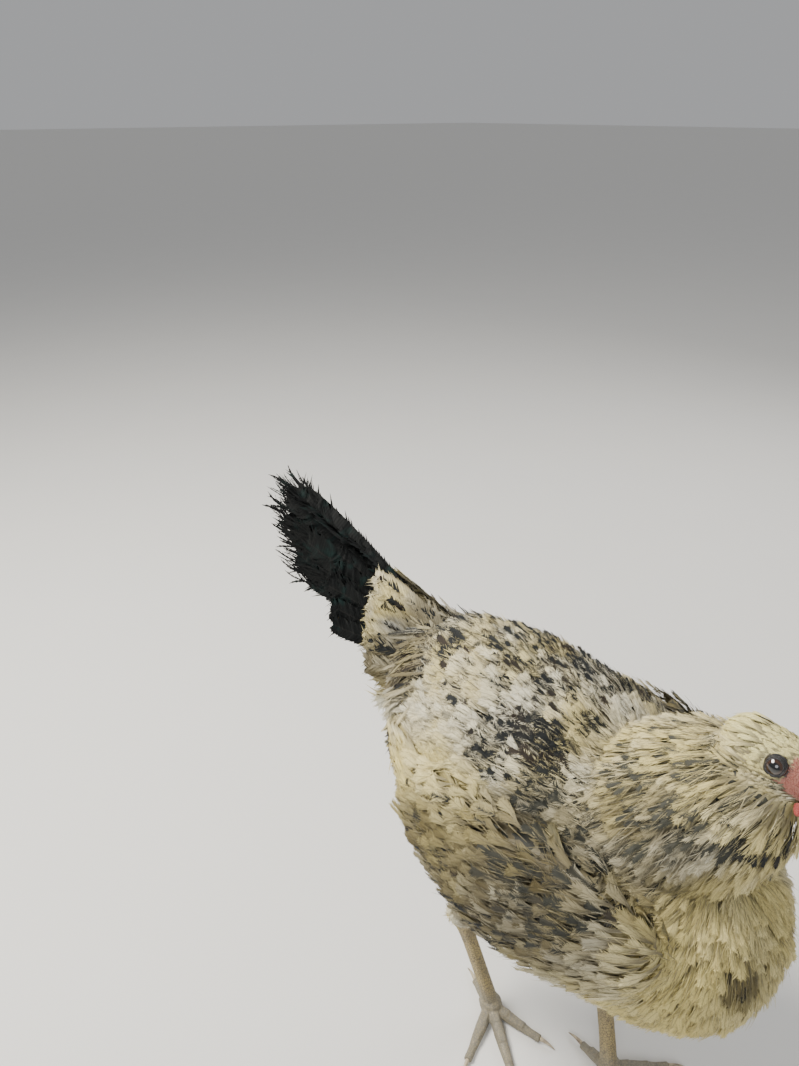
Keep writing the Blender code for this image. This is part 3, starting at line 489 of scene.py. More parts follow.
def feather_piece(name, kind, feathers, picks, unwraps=None, arch=0.22, ragged=0.35, fray=1.0):
    """Joins many feathers of one kind into one mesh.

    Each feather has its spine points, the directions across and out of it there, and its half width. The
    picks are random numbers, and the unwraps are the feathers' places on the skin's own map.
    """
    shape = KINDS[kind]
    draw = np.random.default_rng(SEED + len(name) * 31 + len(feathers))
    count, corners = len(feathers), len(shape["along"])
    spines, sides, outs, widths = (np.array([feather[part] for feather in feathers], np.float64)
                                   for part in range(4))
    lengths = np.linalg.norm(spines[:, 1:] - spines[:, :-1], axis=2).sum(axis=1)
    torn = 0.5 + fray * ramp(shape["along"], 0.60, 1.0)
    uneven = draw.normal(0, ragged, (count, corners)) * shape["barb"] * torn
    across = shape["across"] * (1 + uneven * 0.5)
    along = shape["along"] + shape["sweep"] * (widths / lengths)[:, None] * (1 + uneven)
    late = np.maximum(along - TIP_STARTS, 0)
    along = np.clip(np.minimum(along, TIP_STARTS) + TIP_REACH * (1 - np.exp(-late / TIP_REACH)), 0, 1.12)
    place = along * (SPINE - 1)
    low = np.clip(np.floor(place).astype(int), 0, SPINE - 2)
    share = (place - low)[:, :, None]
    rows = np.arange(count)[:, None]
    centre, side, out = (values[rows, low] * (1 - share) + values[rows, low + 1] * share
                         for values in (spines, sides, outs))
    sink = -arch * across ** 2 * widths[:, None] + draw.normal(0, 0.05, (count, corners)) * widths[:, None]
    points = centre + side * (across * widths[:, None])[:, :, None] + out * sink[:, :, None]
    triangles = (shape["triangles"] + (np.arange(count) * corners)[:, None, None]).reshape(-1, 3)
    corner = triangles.reshape(-1)
    mesh = bpy.data.meshes.new(name)
    mesh.vertices.add(count * corners)
    write(mesh.vertices, "co", points)
    mesh.loops.add(len(corner))
    write(mesh.loops, "vertex_index", corner, np.int32)
    mesh.polygons.add(len(triangles))
    write(mesh.polygons, "loop_start", np.arange(0, len(corner), 3), np.int32)
    mesh.update(calc_edges=True)
    vane = np.stack([np.tile(shape["across"], count) * 0.5 + 0.5, np.tile(shape["along"], count)], axis=1)
    write(mesh.uv_layers.new(name="vane").uv, "vector", vane[corner])
    if unwraps is not None:
        patch = np.stack([shape["across"] * 0.5, shape["along"] - 0.5], axis=1)
        baked = (unwraps[:, None, :] + patch * BAKE_PATCH).reshape(-1, 2)
        write(mesh.uv_layers.new(name="OFBake").uv, "vector", np.clip(baked[corner], 0, 1))
    seen = points if kind in ("plume", "fluff") else np.repeat(spines[:, SHOWN_POINT], corners, axis=0)
    write(mesh.attributes.new("shown_place", "FLOAT_VECTOR", "POINT").data, "vector", seen)
    write(mesh.attributes.new("pick", "FLOAT", "POINT").data, "value", np.repeat(picks, corners))
    return add_object(name, mesh)


# The coat's lie and places

def unit(vectors):
    return vectors / np.maximum(np.linalg.norm(vectors, axis=-1, keepdims=True), 1e-9)


def ramp(value, low, high):
    share = np.clip((value - low) / (high - low), 0, 1)
    return share * share * (3 - 2 * share)


STRAIGHT_LIES = {
    "head": tuple(head_turn().to_3x3() @ Vector((0, 1, -0.25))),
    "thigh": (0.0, 0.45, -1.0),
    "wing": (0.0, 1.0, -0.16),
    "tail": (-0.1, 1.0, 0.25),
}


def lie_of(points, label):
    """The way the feathers lie at points of one body part, before it is laid along the skin."""
    part = label.rstrip("LR")
    if part in STRAIGHT_LIES:
        return np.tile(STRAIGHT_LIES[part], (len(points), 1))
    forward, up = forward_of(points), points[:, 2]
    back, rise = np.array([0.0, 1.0, 0.0]), np.array([0.0, 0.0, 1.0])
    if part == "neck":
        flare = points * (6.0, 0.0, 0.0)
        cape = ramp(-up, -0.300, -0.240)[:, None]
        return unit(np.array([0.0, 0.52, -0.85]) + flare * 0.4 + back * cape * 0.25)
    front = ramp(forward, 0.040, 0.112)[:, None]
    low = ramp(-up, -0.245, -0.165)[:, None]
    rump = ramp(-forward, 0.080, 0.150)[:, None] * (1 - low)
    return unit(back * (1 - 0.72 * front) - rise * (0.10 + 0.85 * front + 0.30 * low) + rise * 0.45 * rump)


TRIES = 2.6
NEARBY = tuple(itertools.product((-1, 0, 1), repeat=3))


def scatter(skin, wanted, spacing, draw):
    """Even random places on the triangles of the skin that wanted picks, spacing apart."""
    chosen = np.nonzero(wanted)[0]
    areas = skin.areas[chosen]
    number = int(areas.sum() / spacing ** 2 * TRIES)
    found = np.searchsorted(np.cumsum(areas), draw.random(number) * areas.sum())
    picks = chosen[found.clip(0, len(chosen) - 1)]
    first, second = draw.random((2, number))
    flip = first + second > 1
    first[flip], second[flip] = 1 - first[flip], 1 - second[flip]
    weights = np.stack([1 - first - second, first, second], axis=1)
    points = (skin.corners[picks] * weights[:, :, None]).sum(axis=1)
    kept, cells = [], {}
    for index, (x, y, z) in enumerate(points.tolist()):
        column, row, layer = (math.floor(part / spacing) for part in (x, y, z))
        near = (spot for right, back, up in NEARBY
                for spot in cells.get((column + right, row + back, layer + up), ()))
        if all((px - x) ** 2 + (py - y) ** 2 + (pz - z) ** 2 >= spacing ** 2 for px, py, pz in near):
            cells.setdefault((column, row, layer), []).append((x, y, z))
            kept.append(index)
    unwraps = (skin.unwrap[picks[kept]] * weights[kept][:, :, None]).sum(axis=1)
    return points[kept], picks[kept], unwraps


def lay(skin, point, lie, length, depth, start, curl, roll):
    """Bends one feather's spine along the skin from its root, rising to the coat's depth at its tip."""
    spine, sides, outs = [], [], []
    here, heading = Vector(point), Vector(lie)
    for index in range(SPINE):
        share = index / (SPINE - 1)
        spot, normal, _, _ = skin.tree.find_nearest(here)
        if normal.length < 0.5:
            normal = Z_AXIS.copy()
        heading = heading - normal * heading.dot(normal)
        if heading.length < 1e-6:
            heading = normal.orthogonal()
        heading.normalize()
        spine.append(spot + normal * (start + (depth - start) * share ** 0.85 + curl * share ** 3))
        across = heading.cross(normal)
        outs.append(normal * math.cos(roll) - across * math.sin(roll))
        sides.append(across * math.cos(roll) + normal * math.sin(roll))
        here = spot + heading * (length / (SPINE - 1))
    return spine, sides, outs


def coat(name, kind, labels, spacing, length, width, depth, start=0.0008, jitter=10.0, curl=0.0, keep=None,
         lie=None):
    """One piece of coat over the named body parts, where keep allows it."""
    skin = SKIN["surface"]
    draw = np.random.default_rng(SEED + sum(map(ord, name)))
    wanted = np.isin(skin.labels, labels)
    if keep is not None:
        wanted &= keep(skin.centres, skin.normals)
    if not wanted.any():
        raise RuntimeError(name + " has no place on the skin")
    points, faces, unwraps = scatter(skin, wanted, spacing, draw)
    lies = np.zeros_like(points)
    for label in labels:
        here = skin.labels[faces] == label
        lies[here] = lie_of(points[here], label) if lie is None else lie
    feathers = []
    lengths = length * (1 + draw.normal(0, 0.15, len(points)).clip(-0.35, 0.35))
    for point, face, way, long in zip(points, faces, lies, lengths):
        turn = Matrix.Rotation(math.radians(draw.normal(0, jitter)), 3, Vector(skin.normals[face]))
        tip = depth * (1 + draw.normal(0, 0.14))
        bend = curl * draw.random()
        roll = math.radians(draw.normal(0, ROLL))
        made = lay(skin, point, turn @ Vector(way), long, tip, start, bend, roll)
        feathers.append((*made, width / 2 * (1 + draw.normal(0, 0.08))))
    piece = feather_piece(name, kind, feathers, draw.random(len(points)), unwraps)
    dress(piece, feather_material(), "pale_feathers")


def forward_of(centres):
    return -(centres[:, 1] - SHIFT.y)


def is_back(centres, normals):
    return (normals[:, 2] > 0.25) & (forward_of(centres) < 0.075)


def is_breast(centres, normals):
    return ~is_back(centres, normals) & (forward_of(centres) > 0.030)


def is_belly(centres, normals):
    return ~is_back(centres, normals) & (forward_of(centres) <= 0.030)


def is_shaggy(centres, normals):
    """The loose fluff round the root of the tail."""
    return (forward_of(centres) < -0.104) & (normals[:, 2] < 0.86) & (centres[:, 2] > 0.250)


def is_upper_neck(centres, normals):
    return centres[:, 2] > 0.296


def is_cape(centres, normals):
    return ~is_upper_neck(centres, normals)


def in_head(centres):
    """The points as the upright head would have them, and how far each lies from the eyes' axis."""
    spots = (np.c_[centres, np.ones(len(centres))] @ np.array(HEAD_MATRIX.inverted()).T)[:, :3]
    return spots, np.hypot(-spots[:, 1] - EYE_FORWARD, spots[:, 2])


def is_feathered(centres, normals):
    """Leaves the bare face round the eyes and at the beak free."""
    spots, ring = in_head(centres)
    forward, up = -spots[:, 1], spots[:, 2]
    above = up > -0.0055 - 0.5 * (forward - 0.0066)
    cheek = (forward > 0.0066 + 0.45 * np.maximum(-up, 0)) & above & (up < 0.0080)
    bare = (ring < 0.0058) | cheek
    return ~(bare & (np.abs(spots[:, 0]) > 0.0035)) & (forward < 0.0190)


def is_bare(centres, normals):
    """The bare face in front of the eyes."""
    spots, ring = in_head(centres)
    return ~is_feathered(centres, normals) & (ring > 0.0056) & (-spots[:, 1] > 0.0060)


def is_nape(centres, normals):
    return in_head(centres)[0][:, 1] > 0.0065


def build_body_coat():
    """The feathers and loose barbs of back, breast, belly, thighs and the root of the tail."""
    long, wide, step = size("feather_length"), size("feather_width"), size("feather_step")
    down, barb = size("down_length"), size("barb_length")
    torso, thighs, rear = ["torso"], ["thighL", "thighR"], ["torso", "tail"]
    coat("coat_back", "contour", torso, step, long, wide, 0.0080, keep=is_back, jitter=11, curl=0.0006)
    coat("coat_breast", "contour", torso, step, long, wide * 0.95, 0.0078, keep=is_breast, jitter=8)
    coat("coat_belly", "down", torso, 0.0038, down, 0.0084, 0.0084, keep=is_belly, jitter=15, curl=0.0012)
    for mark, _ in SIDES:
        coat("coat_thigh_" + mark, "down", ["thigh" + mark], 0.0036, down * 0.9, 0.0076, 0.0068, jitter=15,
             curl=0.001)
    coat("coat_tail_base", "down", ["tail"], 0.0038, down, 0.0072, 0.0070, jitter=18, curl=0.002)
    coat("fuzz_back", "strand", torso, 0.0023, barb, 0.0007, 0.0088, 0.0068, keep=is_back, jitter=9)
    coat("fuzz_breast", "strand", torso, 0.0021, barb, 0.0006, 0.0087, 0.0066, keep=is_breast, jitter=8)
    coat("fuzz_belly", "strand", rear, 0.0028, barb * 1.2, 0.0008, 0.0094, 0.0070, keep=is_belly, jitter=16)
    coat("fuzz_thighs", "strand", thighs, 0.0026, barb, 0.0008, 0.0080, 0.0056, jitter=16)
    coat("shag_tail", "hackle", ["tail", "torso"], 0.0027, 0.032, 0.0040, 0.0120, 0.0050, keep=is_shaggy,
         jitter=16, curl=0.005, lie=(0.0, 0.62, -0.78))


def build_neck_coat():
    """The hackles of the neck, the cape at its foot and the small feathers of the head."""
    hackle, cape, small = size("hackle_length"), size("cape_length"), size("face_length")
    neck, head = ["neck"], ["head"]
    coat("coat_neck", "hackle", neck, 0.0026, hackle, 0.0050, 0.0070, keep=is_upper_neck, jitter=9,
         curl=0.0008)
    coat("coat_cape", "hackle", neck, 0.0031, cape, 0.0064, 0.0068, keep=is_cape, jitter=9, curl=0.001)
    coat("fuzz_neck", "strand", neck, 0.0021, 0.013, 0.0006, 0.0076, 0.0058, jitter=9)
    coat("coat_head", "small", head, 0.0012, small, 0.0022, 0.0014, 0.0002, keep=is_feathered, jitter=13)
    coat("coat_nape", "hackle", head, 0.0018, 0.017, 0.0034, 0.0042, 0.0006, keep=is_nape, jitter=9)


# Wings

# Count, width, the roots of the lowest and the highest feather (forward, up), their tips, and how far
# they stand off
QUILL_SET = (12, 0.014, (0.010, 0.198), (-0.045, 0.232), (-0.073, 0.185), (-0.122, 0.252), 0.0034)
WING_SETS = (
    (14, 0.021, (0.016, 0.206), (-0.045, 0.268), (-0.068, 0.184), (-0.126, 0.262), 0.0056),
    (16, 0.016, (0.046, 0.208), (-0.012, 0.282), (-0.026, 0.190), (-0.086, 0.276), 0.0084),
)
WING_TILT = math.radians(8)


def wing_feather(side, root, tip, lift):
    """One long wing feather, its spine laid on the wing from outside."""
    tree = SKIN["surface"].tree
    spine, sides, outs = [], [], []
    last = 0.0
    for index in range(SPINE):
        share = index / (SPINE - 1)
        up = between(root[1], tip[1], share) + 0.004 * math.sin(math.pi * share)
        start = at(between(root[0], tip[0], share), side * 0.2, up)
        hit = tree.ray_cast(start, Vector((-side, 0, 0)))[0]
        last = max(abs(hit.x) if hit is not None else 0.0, last - 0.006)
        spine.append(Vector((side * (last + lift * (0.3 + 0.7 * share)), start.y, up)))
    for index in range(SPINE):
        along = (spine[min(index + 1, SPINE - 1)] - spine[max(index - 1, 0)]).normalized()
        out = Vector((side, 0, 0.25))
        out = (out - along * out.dot(along)).normalized()
        tilt = Matrix.Rotation(WING_TILT * side, 3, along)
        sides.append(tilt @ along.cross(out))
        outs.append(tilt @ out)
    return spine, sides, outs


def wing_vanes(name, kind, rows, side, draw):
    """The long feathers of one wing, set by set."""
    feathers = []
    for count, width, low_root, high_root, low_tip, high_tip, lift in rows:
        for index in range(count):
            share = index / (count - 1)
            root = [between(low, high, share) for low, high in zip(low_root, high_root)]
            tip = [between(low, high, share) for low, high in zip(low_tip, high_tip)]
            tip[0] += draw.normal(0, 0.0020)
            feathers.append((*wing_feather(side, root, tip, lift + 0.0001 * index), width / 2))
    return feather_piece(name, kind, feathers, draw.random(len(feathers)), arch=0.10, ragged=0.5)


def build_wing(mark, side):
    """One folded wing: black quills under pale long feathers, and the coat over their roots."""
    draw = np.random.default_rng(SEED + side)
    quills = wing_vanes("wing_quills_" + mark, "flight", (QUILL_SET,), side, draw)
    dress(quills, tail_material(), "black_feathers")
    vanes = wing_vanes("wing_feathers_" + mark, "plume", WING_SETS, side, draw)
    dress(vanes, feather_material(), "pale_feathers", "wing_" + mark)

    def is_wing(centres, normals):
        return (normals[:, 0] * side > 0.1) & (forward_of(centres) > -0.072)

    wing, long, wide = ["wing" + mark], size("feather_length"), size("feather_width") * 1.05
    coat("coat_wing_" + mark, "contour", wing, size("feather_step"), long, wide, 0.0128, 0.0072, 8,
         keep=is_wing)
    coat("fuzz_wing_" + mark, "strand", wing, 0.0024, 0.010, 0.0006, 0.0136, 0.0118, 8, keep=is_wing)


# Tail: each pair gives the value at the top of a set and at its foot

TAIL_TURN = math.radians(11)
TOP_RISE = math.radians(29)
LOW_RISE = math.radians(8)
TAIL_SETS = (
    {"count": 7, "forward": -0.146, "left": (0.0055, 0.0070), "up": (0.309, 0.291),
     "rise": (TOP_RISE, 1.5 * LOW_RISE), "spread": (0.05, 0.05), "length": (0.160, 0.120), "width": 0.027,
     "tilt": -8, "droop": (0.006, 0.0), "roof": 0.85},
    {"count": 9, "forward": -0.140, "left": (0.0085, 0.0145), "up": (0.314, 0.288),
     "rise": (0.9 * TOP_RISE, 0.6 * LOW_RISE), "spread": (0.07, 0.16), "length": (0.100, 0.084), "width": 0.019,
     "tilt": -8, "droop": (0.004, 0.0), "roof": 0.80},
)
COVERT_SETS = (
    {"count": 21, "forward": -0.128, "left": (0.0110, 0.0190), "up": (0.320, 0.278),
     "rise": (0.8 * TOP_RISE, 0.1 * LOW_RISE), "spread": (0.08, 0.26), "length": (0.064, 0.052), "width": 0.016,
     "tilt": -6, "droop": (0.004, 0.003), "roof": 0.45},
    {"count": 16, "forward": -0.142, "left": (0.004, 0.014), "up": (0.278, 0.262),
     "rise": (math.radians(-12), math.radians(-55)), "spread": (0.10, 0.40), "length": (0.056, 0.046),
     "width": 0.013, "tilt": 10, "droop": (0.004, 0.002)},
)
LOOSE = 2.6
TAIL_PIECES = (
    ("tail_feathers", "tail", TAIL_SETS, 1.0),
    ("tail_coverts", "plume", COVERT_SETS[:1], LOOSE),
    ("under_coverts", "fluff", COVERT_SETS[1:], LOOSE),
)
ROOF_TILT = 62
ROOF_SHARE = 3.2


def tail_feather(row, side, share, draw, loose):
    """One tail feather; those at the top lie flat and close the roof over the others."""
    left, up, rise, spread, length, droop = (between(*row[key], share)
                                             for key in ("left", "up", "rise", "spread", "length", "droop"))
    roof = row.get("roof", 0.0) * max(1 - ROOF_SHARE * share, 0)
    root = at(row["forward"], side * left * (1 - roof), up)
    rise += draw.normal(0, 0.015) * loose
    turn = TAIL_TURN - side * spread * (1 - roof) + draw.normal(0, 0.012) * loose
    heading = plain(-math.cos(turn), -math.sin(turn), 0) * math.cos(rise) + Z_AXIS * math.sin(rise)
    length *= 1 + draw.normal(0, 0.02) * loose
    out = X_AXIS * side
    out = (out - heading * out.dot(heading)).normalized()
    tilt = Matrix.Rotation(math.radians(row["tilt"] * (1 - roof) - ROOF_TILT * roof) * side, 3, heading)
    reaches = [index / (SPINE - 1) for index in range(SPINE)]
    spine = [root + heading * (length * reach) - Z_AXIS * (droop * reach ** 2) for reach in reaches]
    return spine, [tilt @ heading.cross(out)] * SPINE, [tilt @ out] * SPINE


def tail_wisps(draw, ends):
    """Thin torn ends that fan out from the tips of the long tail feathers."""
    wisps = []
    for _ in range(size("torn_ends")):
        spine, side, out = ends[int(draw.integers(len(ends)))]
        heading = (spine[-1] - spine[-2]).normalized()
        start = spine[-1] - heading * draw.uniform(0.002, 0.030) + side * draw.uniform(-0.010, 0.010)
        turn = Matrix.Rotation(math.radians(draw.normal(0, 13)), 3, out)
        way = Matrix.Rotation(math.radians(draw.normal(0, 7)), 3, side) @ turn @ heading
        length = draw.uniform(0.012, 0.023)
        bend = side * draw.normal(0, 0.16)
        shares = [index / (SPINE - 1) for index in range(SPINE)]
        points = [start + (way + bend * share ** 2) * (length * share) for share in shares]
        wisps.append((points, [turn @ side] * SPINE, [out] * SPINE, draw.uniform(0.0004, 0.0013)))
    return wisps


def build_tail():
    """The black tail with its torn ends, and the coverts over its root."""
    draw = np.random.default_rng(SEED + 5)
    ends = []
    for name, kind, rows, loose in TAIL_PIECES:
        feathers = []
        for row, (_, side), index in ((row, one, index) for row in rows for one in SIDES
                                      for index in range(row["count"])):
            made = tail_feather(row, side, index / (row["count"] - 1), draw, loose)
            feathers.append((*made, row["width"] / 2))
            if row is TAIL_SETS[0]:
                ends.append((made[0], made[1][-1], made[2][-1]))
        piece = feather_piece(name, kind, feathers, draw.random(len(feathers)), None, 0.12, 0.45, 2.2)
        if kind == "tail":
            dress(piece, tail_material(), "black_feathers", "tail")
        else:
            dress(piece, feather_material(), "pale_feathers")
    wisps = tail_wisps(draw, ends)
    piece = feather_piece("tail_wisps", "wisp", wisps, draw.random(len(wisps)))
    dress(piece, tail_material(), "black_feathers")


# Head parts

EYE_LOOKS = (-0.12, 0.02)
CORNEA_FROM = 0.80
CORNEA_SWELL = 0.35
LID_OUT = 0.0033
LID_RINGS = ((0.0042, 0.00055, 0.0010), (0.0049, 0.00055, 0.0002), (0.0056, 0.00050, -0.0008))
LID_SQUASH = Matrix.Diagonal((1.0, 0.86, 1.0, 1.0))
COMB_SLOPE = math.radians(28)
COMB_BASE = ((0, 0, -0.0004), 0.0044, (0.72, 1.45, 0.62))
COMB_ROWS = ((0.0, 0.0020, 6), (-0.0022, 0.0008, 5), (0.0022, 0.0008, 5))
COMB_LENGTH = 0.0105
KNOB = 0.00135
FACE_BUMP_STEP = 0.00065
BUMP_SQUASH = Matrix.Diagonal((1.0, 1.0, 0.55, 1.0))


def eye_turn(side):
    """The way an eye looks, and the turn that brings the z axis there."""
    axis = (head_turn().to_3x3() @ Vector((side, *EYE_LOOKS))).normalized()
    return axis, Z_AXIS.rotation_difference(axis).to_matrix().to_4x4()


def build_eyes():
    """Two eyeballs with a swollen cornea; each point knows its angle from the pupil."""
    for mark, side in SIDES:
        low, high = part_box("eye_" + mark)
        radius, centre = (high.x - low.x) / 2, middle("eye_" + mark)
        axis, turn = eye_turn(side)
        bm = bmesh.new()
        bmesh.ops.create_uvsphere(bm, u_segments=48, v_segments=32, radius=radius)
        for vert in bm.verts:
            vert.co.z += radius * CORNEA_SWELL * max(vert.co.z / radius - CORNEA_FROM, 0)
        bmesh.ops.transform(bm, verts=bm.verts, matrix=Matrix.Translation(centre) @ turn)
        eye = finish_mesh("eyeball_" + mark, bm)
        angles = [math.degrees((vert.co - centre).angle(axis)) / 90 for vert in eye.data.vertices]
        write(eye.data.attributes.new("from_pupil", "FLOAT", "POINT").data, "value", angles)
        dress(eye, eye_material(), "eye", "eye_" + mark)


def build_lids():
    """Three folds of skin round each eye, from rings of radius, thickness and lift."""
    bm = bmesh.new()
    for mark, side in SIDES:
        axis, turn = eye_turn(side)
        centre = middle("eye_" + mark) + axis * LID_OUT
        for radius, thick, lift in LID_RINGS:
            profile = Matrix.Translation((radius, 0, 0)) @ Matrix.Rotation(math.pi / 2, 4, "X")
            verts = bmesh.ops.create_circle(bm, segments=10, radius=thick, matrix=profile)["verts"]
            edges = {edge for vert in verts for edge in vert.link_edges}
            bmesh.ops.spin(bm, geom=verts + list(edges), cent=(0, 0, 0), axis=Z_AXIS, dvec=(0, 0, 0),
                           angle=2 * math.pi, steps=44, use_merge=True)
            fresh = [vert for vert in bm.verts if not vert.tag]
            matrix = Matrix.Translation(centre + axis * lift) @ turn @ LID_SQUASH
            bmesh.ops.transform(bm, verts=fresh, matrix=matrix)
            for vert in fresh:
                vert.tag = True
    dress(finish_mesh("lids", bm), lid_material(), "red_skin")


def build_comb():
    """A low pea comb: three rows of small knobs on a narrow base."""
    draw = random.Random(SEED)
    knobs = [COMB_BASE]
    for side, height, count in COMB_ROWS:
        for index in range(count):
            share = index / (count - 1) - 0.5
            radius = KNOB * (1 - 0.5 * abs(share)) * draw.uniform(0.85, 1.15)
            knobs.append(((side, share * COMB_LENGTH, height - 0.0040 * share ** 2), radius, (1, 1.2, 1)))
    base = Matrix.Translation(HEAD_MATRIX.inverted() @ middle("comb"))
    slope = HEAD_MATRIX @ base @ Matrix.Rotation(COMB_SLOPE, 4, "X")
    bm = bmesh.new()
    for spot, radius, squash in knobs:
        matrix = slope @ Matrix.Translation(spot) @ Matrix.Diagonal((*squash, 1.0))
        bmesh.ops.create_icosphere(bm, subdivisions=3, radius=radius, matrix=matrix)
    comb = remeshed(finish_mesh("pea_comb", bm), 0.00028, 0.5, 3)
    dress(comb, red_material(), "red_skin", "comb")


def build_face_skin():
    """Small bumps all over the bare red face."""
    skin = SKIN["surface"]
    draw = np.random.default_rng(SEED + 11)
    wanted = (skin.labels == "head") & is_bare(skin.centres, skin.normals)
    points, faces, _ = scatter(skin, wanted, FACE_BUMP_STEP, draw)
    bm = bmesh.new()
    for point, face in zip(points, faces):
        normal = Vector(skin.normals[face])
        turn = Z_AXIS.rotation_difference(normal).to_matrix().to_4x4()
        place = Matrix.Translation(Vector(point) + normal * 0.00002) @ turn @ BUMP_SQUASH
        bmesh.ops.create_icosphere(bm, subdivisions=1, radius=draw.uniform(0.00030, 0.00048), matrix=place)
    dress(finish_mesh("face_bumps", bm), face_material(), "red_skin")


def melted_copy(name, nodes, voxel, smoothing, rounds, material, slot):
    """One smooth skin from merged copies of the nodes."""
    bm = bmesh.new()
    for node in nodes:
        bm.from_mesh(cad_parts[node].data)
    dress(remeshed(finish_mesh(name, bm), voxel, smoothing, rounds), material, slot, *nodes)


def build_beak():
    """Both halves of the beak, and the wattles."""
    for name, node in (("upper_beak", "beak_upper"), ("lower_beak", "beak_lower")):
        melted_copy(name, [node], 0.0003, 0.5, 6, horn_material(), "horn")
    for mark, _ in SIDES:
        melted_copy("soft_wattle_" + mark, ["wattle_" + mark], 0.0003, 0.5, 8, red_material(), "red_skin")


def build_legs():
    """Legs with their feet, and the claws."""
    for mark, _ in SIDES:
        nodes = ["shank_" + mark, "foot_" + mark]
        melted_copy("scaly_leg_" + mark, nodes, 0.0007, 0.4, 3, leg_material(), "scaly_leg")
        nodes = [f"claw_{mark}_{toe}" for toe in ("inner", "middle", "outer", "hind")]
        melted_copy("claws_" + mark, nodes, 0.0003, 0.5, 4, horn_material(), "horn")


# Shader nodes

class Graph:
    """Short calls for adding and joining shader nodes."""

    def __init__(self, tree):
        self.tree = tree

    def node(self, kind, **values):
        made = self.tree.nodes.new("ShaderNode" + kind)
        for key, value in values.items():
            setattr(made, key, value)
        return made

    def feed(self, socket, value):
        if isinstance(value, bpy.types.NodeSocket):
            self.tree.links.new(value, socket)
        elif value is not None:
            socket.default_value = value

    def fill(self, made, **values):
        """Feeds the named inputs of a node, with spaces for underscores."""
        for key, value in values.items():
            self.feed(made.inputs[key.replace("_", " ")], value)
        return made.outputs

    def math(self, operation, *values):
        made = self.node("Math", operation=operation)
        for socket, value in zip(made.inputs, values):
            self.feed(socket, value)
        return made.outputs[0]

    def times(self, first, second):
        return self.math("MULTIPLY", first, second)

    def plus(self, first, second):
        return self.math("ADD", first, second)

    def vector(self, operation, first, second=None):
        made = self.node("VectorMath", operation=operation)
        self.feed(made.inputs[0], first)
        self.feed(made.inputs[1], second)
        return made.outputs["Value" if operation == "LENGTH" else "Vector"]

    def ramp(self, value, low, high, start=0.0, end=1.0):
        made = self.node("MapRange", interpolation_type="SMOOTHSTEP")
        return self.fill(made, Value=value, From_Min=low, From_Max=high, To_Min=start, To_Max=end)["Result"]

    def noise(self, place, scale, detail=2.0, rough=0.5):
        made = self.node("TexNoise")
        return self.fill(made, Vector=place, Scale=scale, Detail=detail, Roughness=rough)["Fac"]

    def cells(self, place, scale, **values):
        return self.fill(self.node("TexVoronoi", **values), Vector=place, Scale=scale)

    def split(self, place):
        made = self.node("SeparateXYZ")
        self.feed(made.inputs[0], place)
        return made.outputs

    def mix(self, share, first, second, blend="MIX"):
        made = self.node("Mix", data_type="RGBA", blend_type=blend)
        self.feed(made.inputs["Factor"], share)
        for name, value in (("A", first), ("B", second)):
            socket = [item for item in made.inputs if item.name == name and item.type == "RGBA"][0]
            self.feed(socket, (*value, 1.0) if isinstance(value, tuple) else value)
        return [item for item in made.outputs if item.type == "RGBA"][0]

    def group(self, tree, **values):
        return self.fill(self.node("Group", node_tree=tree), **values)

    def place(self):
        return self.node("TexCoord").outputs["Object"]

    def attribute(self, name, output="Fac"):
        return self.node("Attribute", attribute_name=name).outputs[output]

    def from_shaft(self, across):
        return self.math("ABSOLUTE", self.math("SUBTRACT", across, 0.5))

    def bump(self, height, strength, distance):
        return self.fill(self.node("Bump"), Height=height, Strength=strength, Distance=distance)["Normal"]


def new_group(name, inputs, outputs):
    """A new node group with its sockets, its graph and its given values."""
    tree = bpy.data.node_groups.new(name, "ShaderNodeTree")
    for key, value in inputs.items():
        kind = "NodeSocketVector" if value is None else "NodeSocketFloat"
        made = tree.interface.new_socket(name=key, in_out="INPUT", socket_type=kind)
        if value is not None:
            made.default_value = value
    for key in outputs:
        kind = "NodeSocketColor" if key == "Color" else "NodeSocketFloat"
        tree.interface.new_socket(name=key, in_out="OUTPUT", socket_type=kind)
    graph = Graph(tree)
    given, out = (tree.nodes.new(kind) for kind in ("NodeGroupInput", "NodeGroupOutput"))
    return tree, graph, given.outputs, out


@cache
def barbs_group():
    """Fine ribs that run from the shaft out to the feather's edge."""
    tree, graph, given, out = new_group("feather barbs", {"Vane": None, "Pick": 0.5, "Lines": 200.0},
                                        ("Across", "Along", "Ribs", "Barb"))
    across, along, _ = graph.split(given["Vane"])
    slant = graph.plus(along, graph.times(graph.from_shaft(across), 0.10))
    line = graph.fill(graph.node("CombineXYZ"), X=graph.times(slant, 34.0), Y=graph.times(given["Pick"], 90.0),
                      Z=graph.math("GREATER_THAN", across, 0.5))
    graph.fill(out, Across=across, Along=along, Ribs=graph.math("SINE", graph.times(slant, given["Lines"])),
               Barb=graph.ramp(graph.noise(line[0], 1.0, 1.0), 0.30, 0.70))
    return tree


@cache
def pebbles_group():
    """Round bumps of bare skin and broad drifts of its tone."""
    tree, graph, given, out = new_group("pebbled skin", {"Place": None, "Scale": 1500.0}, ("Pebble", "Drift"))
    drift = graph.noise(given["Place"], graph.times(given["Scale"], 0.22), 3.0)
    graph.fill(out, Pebble=graph.cells(given["Place"], given["Scale"])["Distance"], Drift=drift)
    return tree
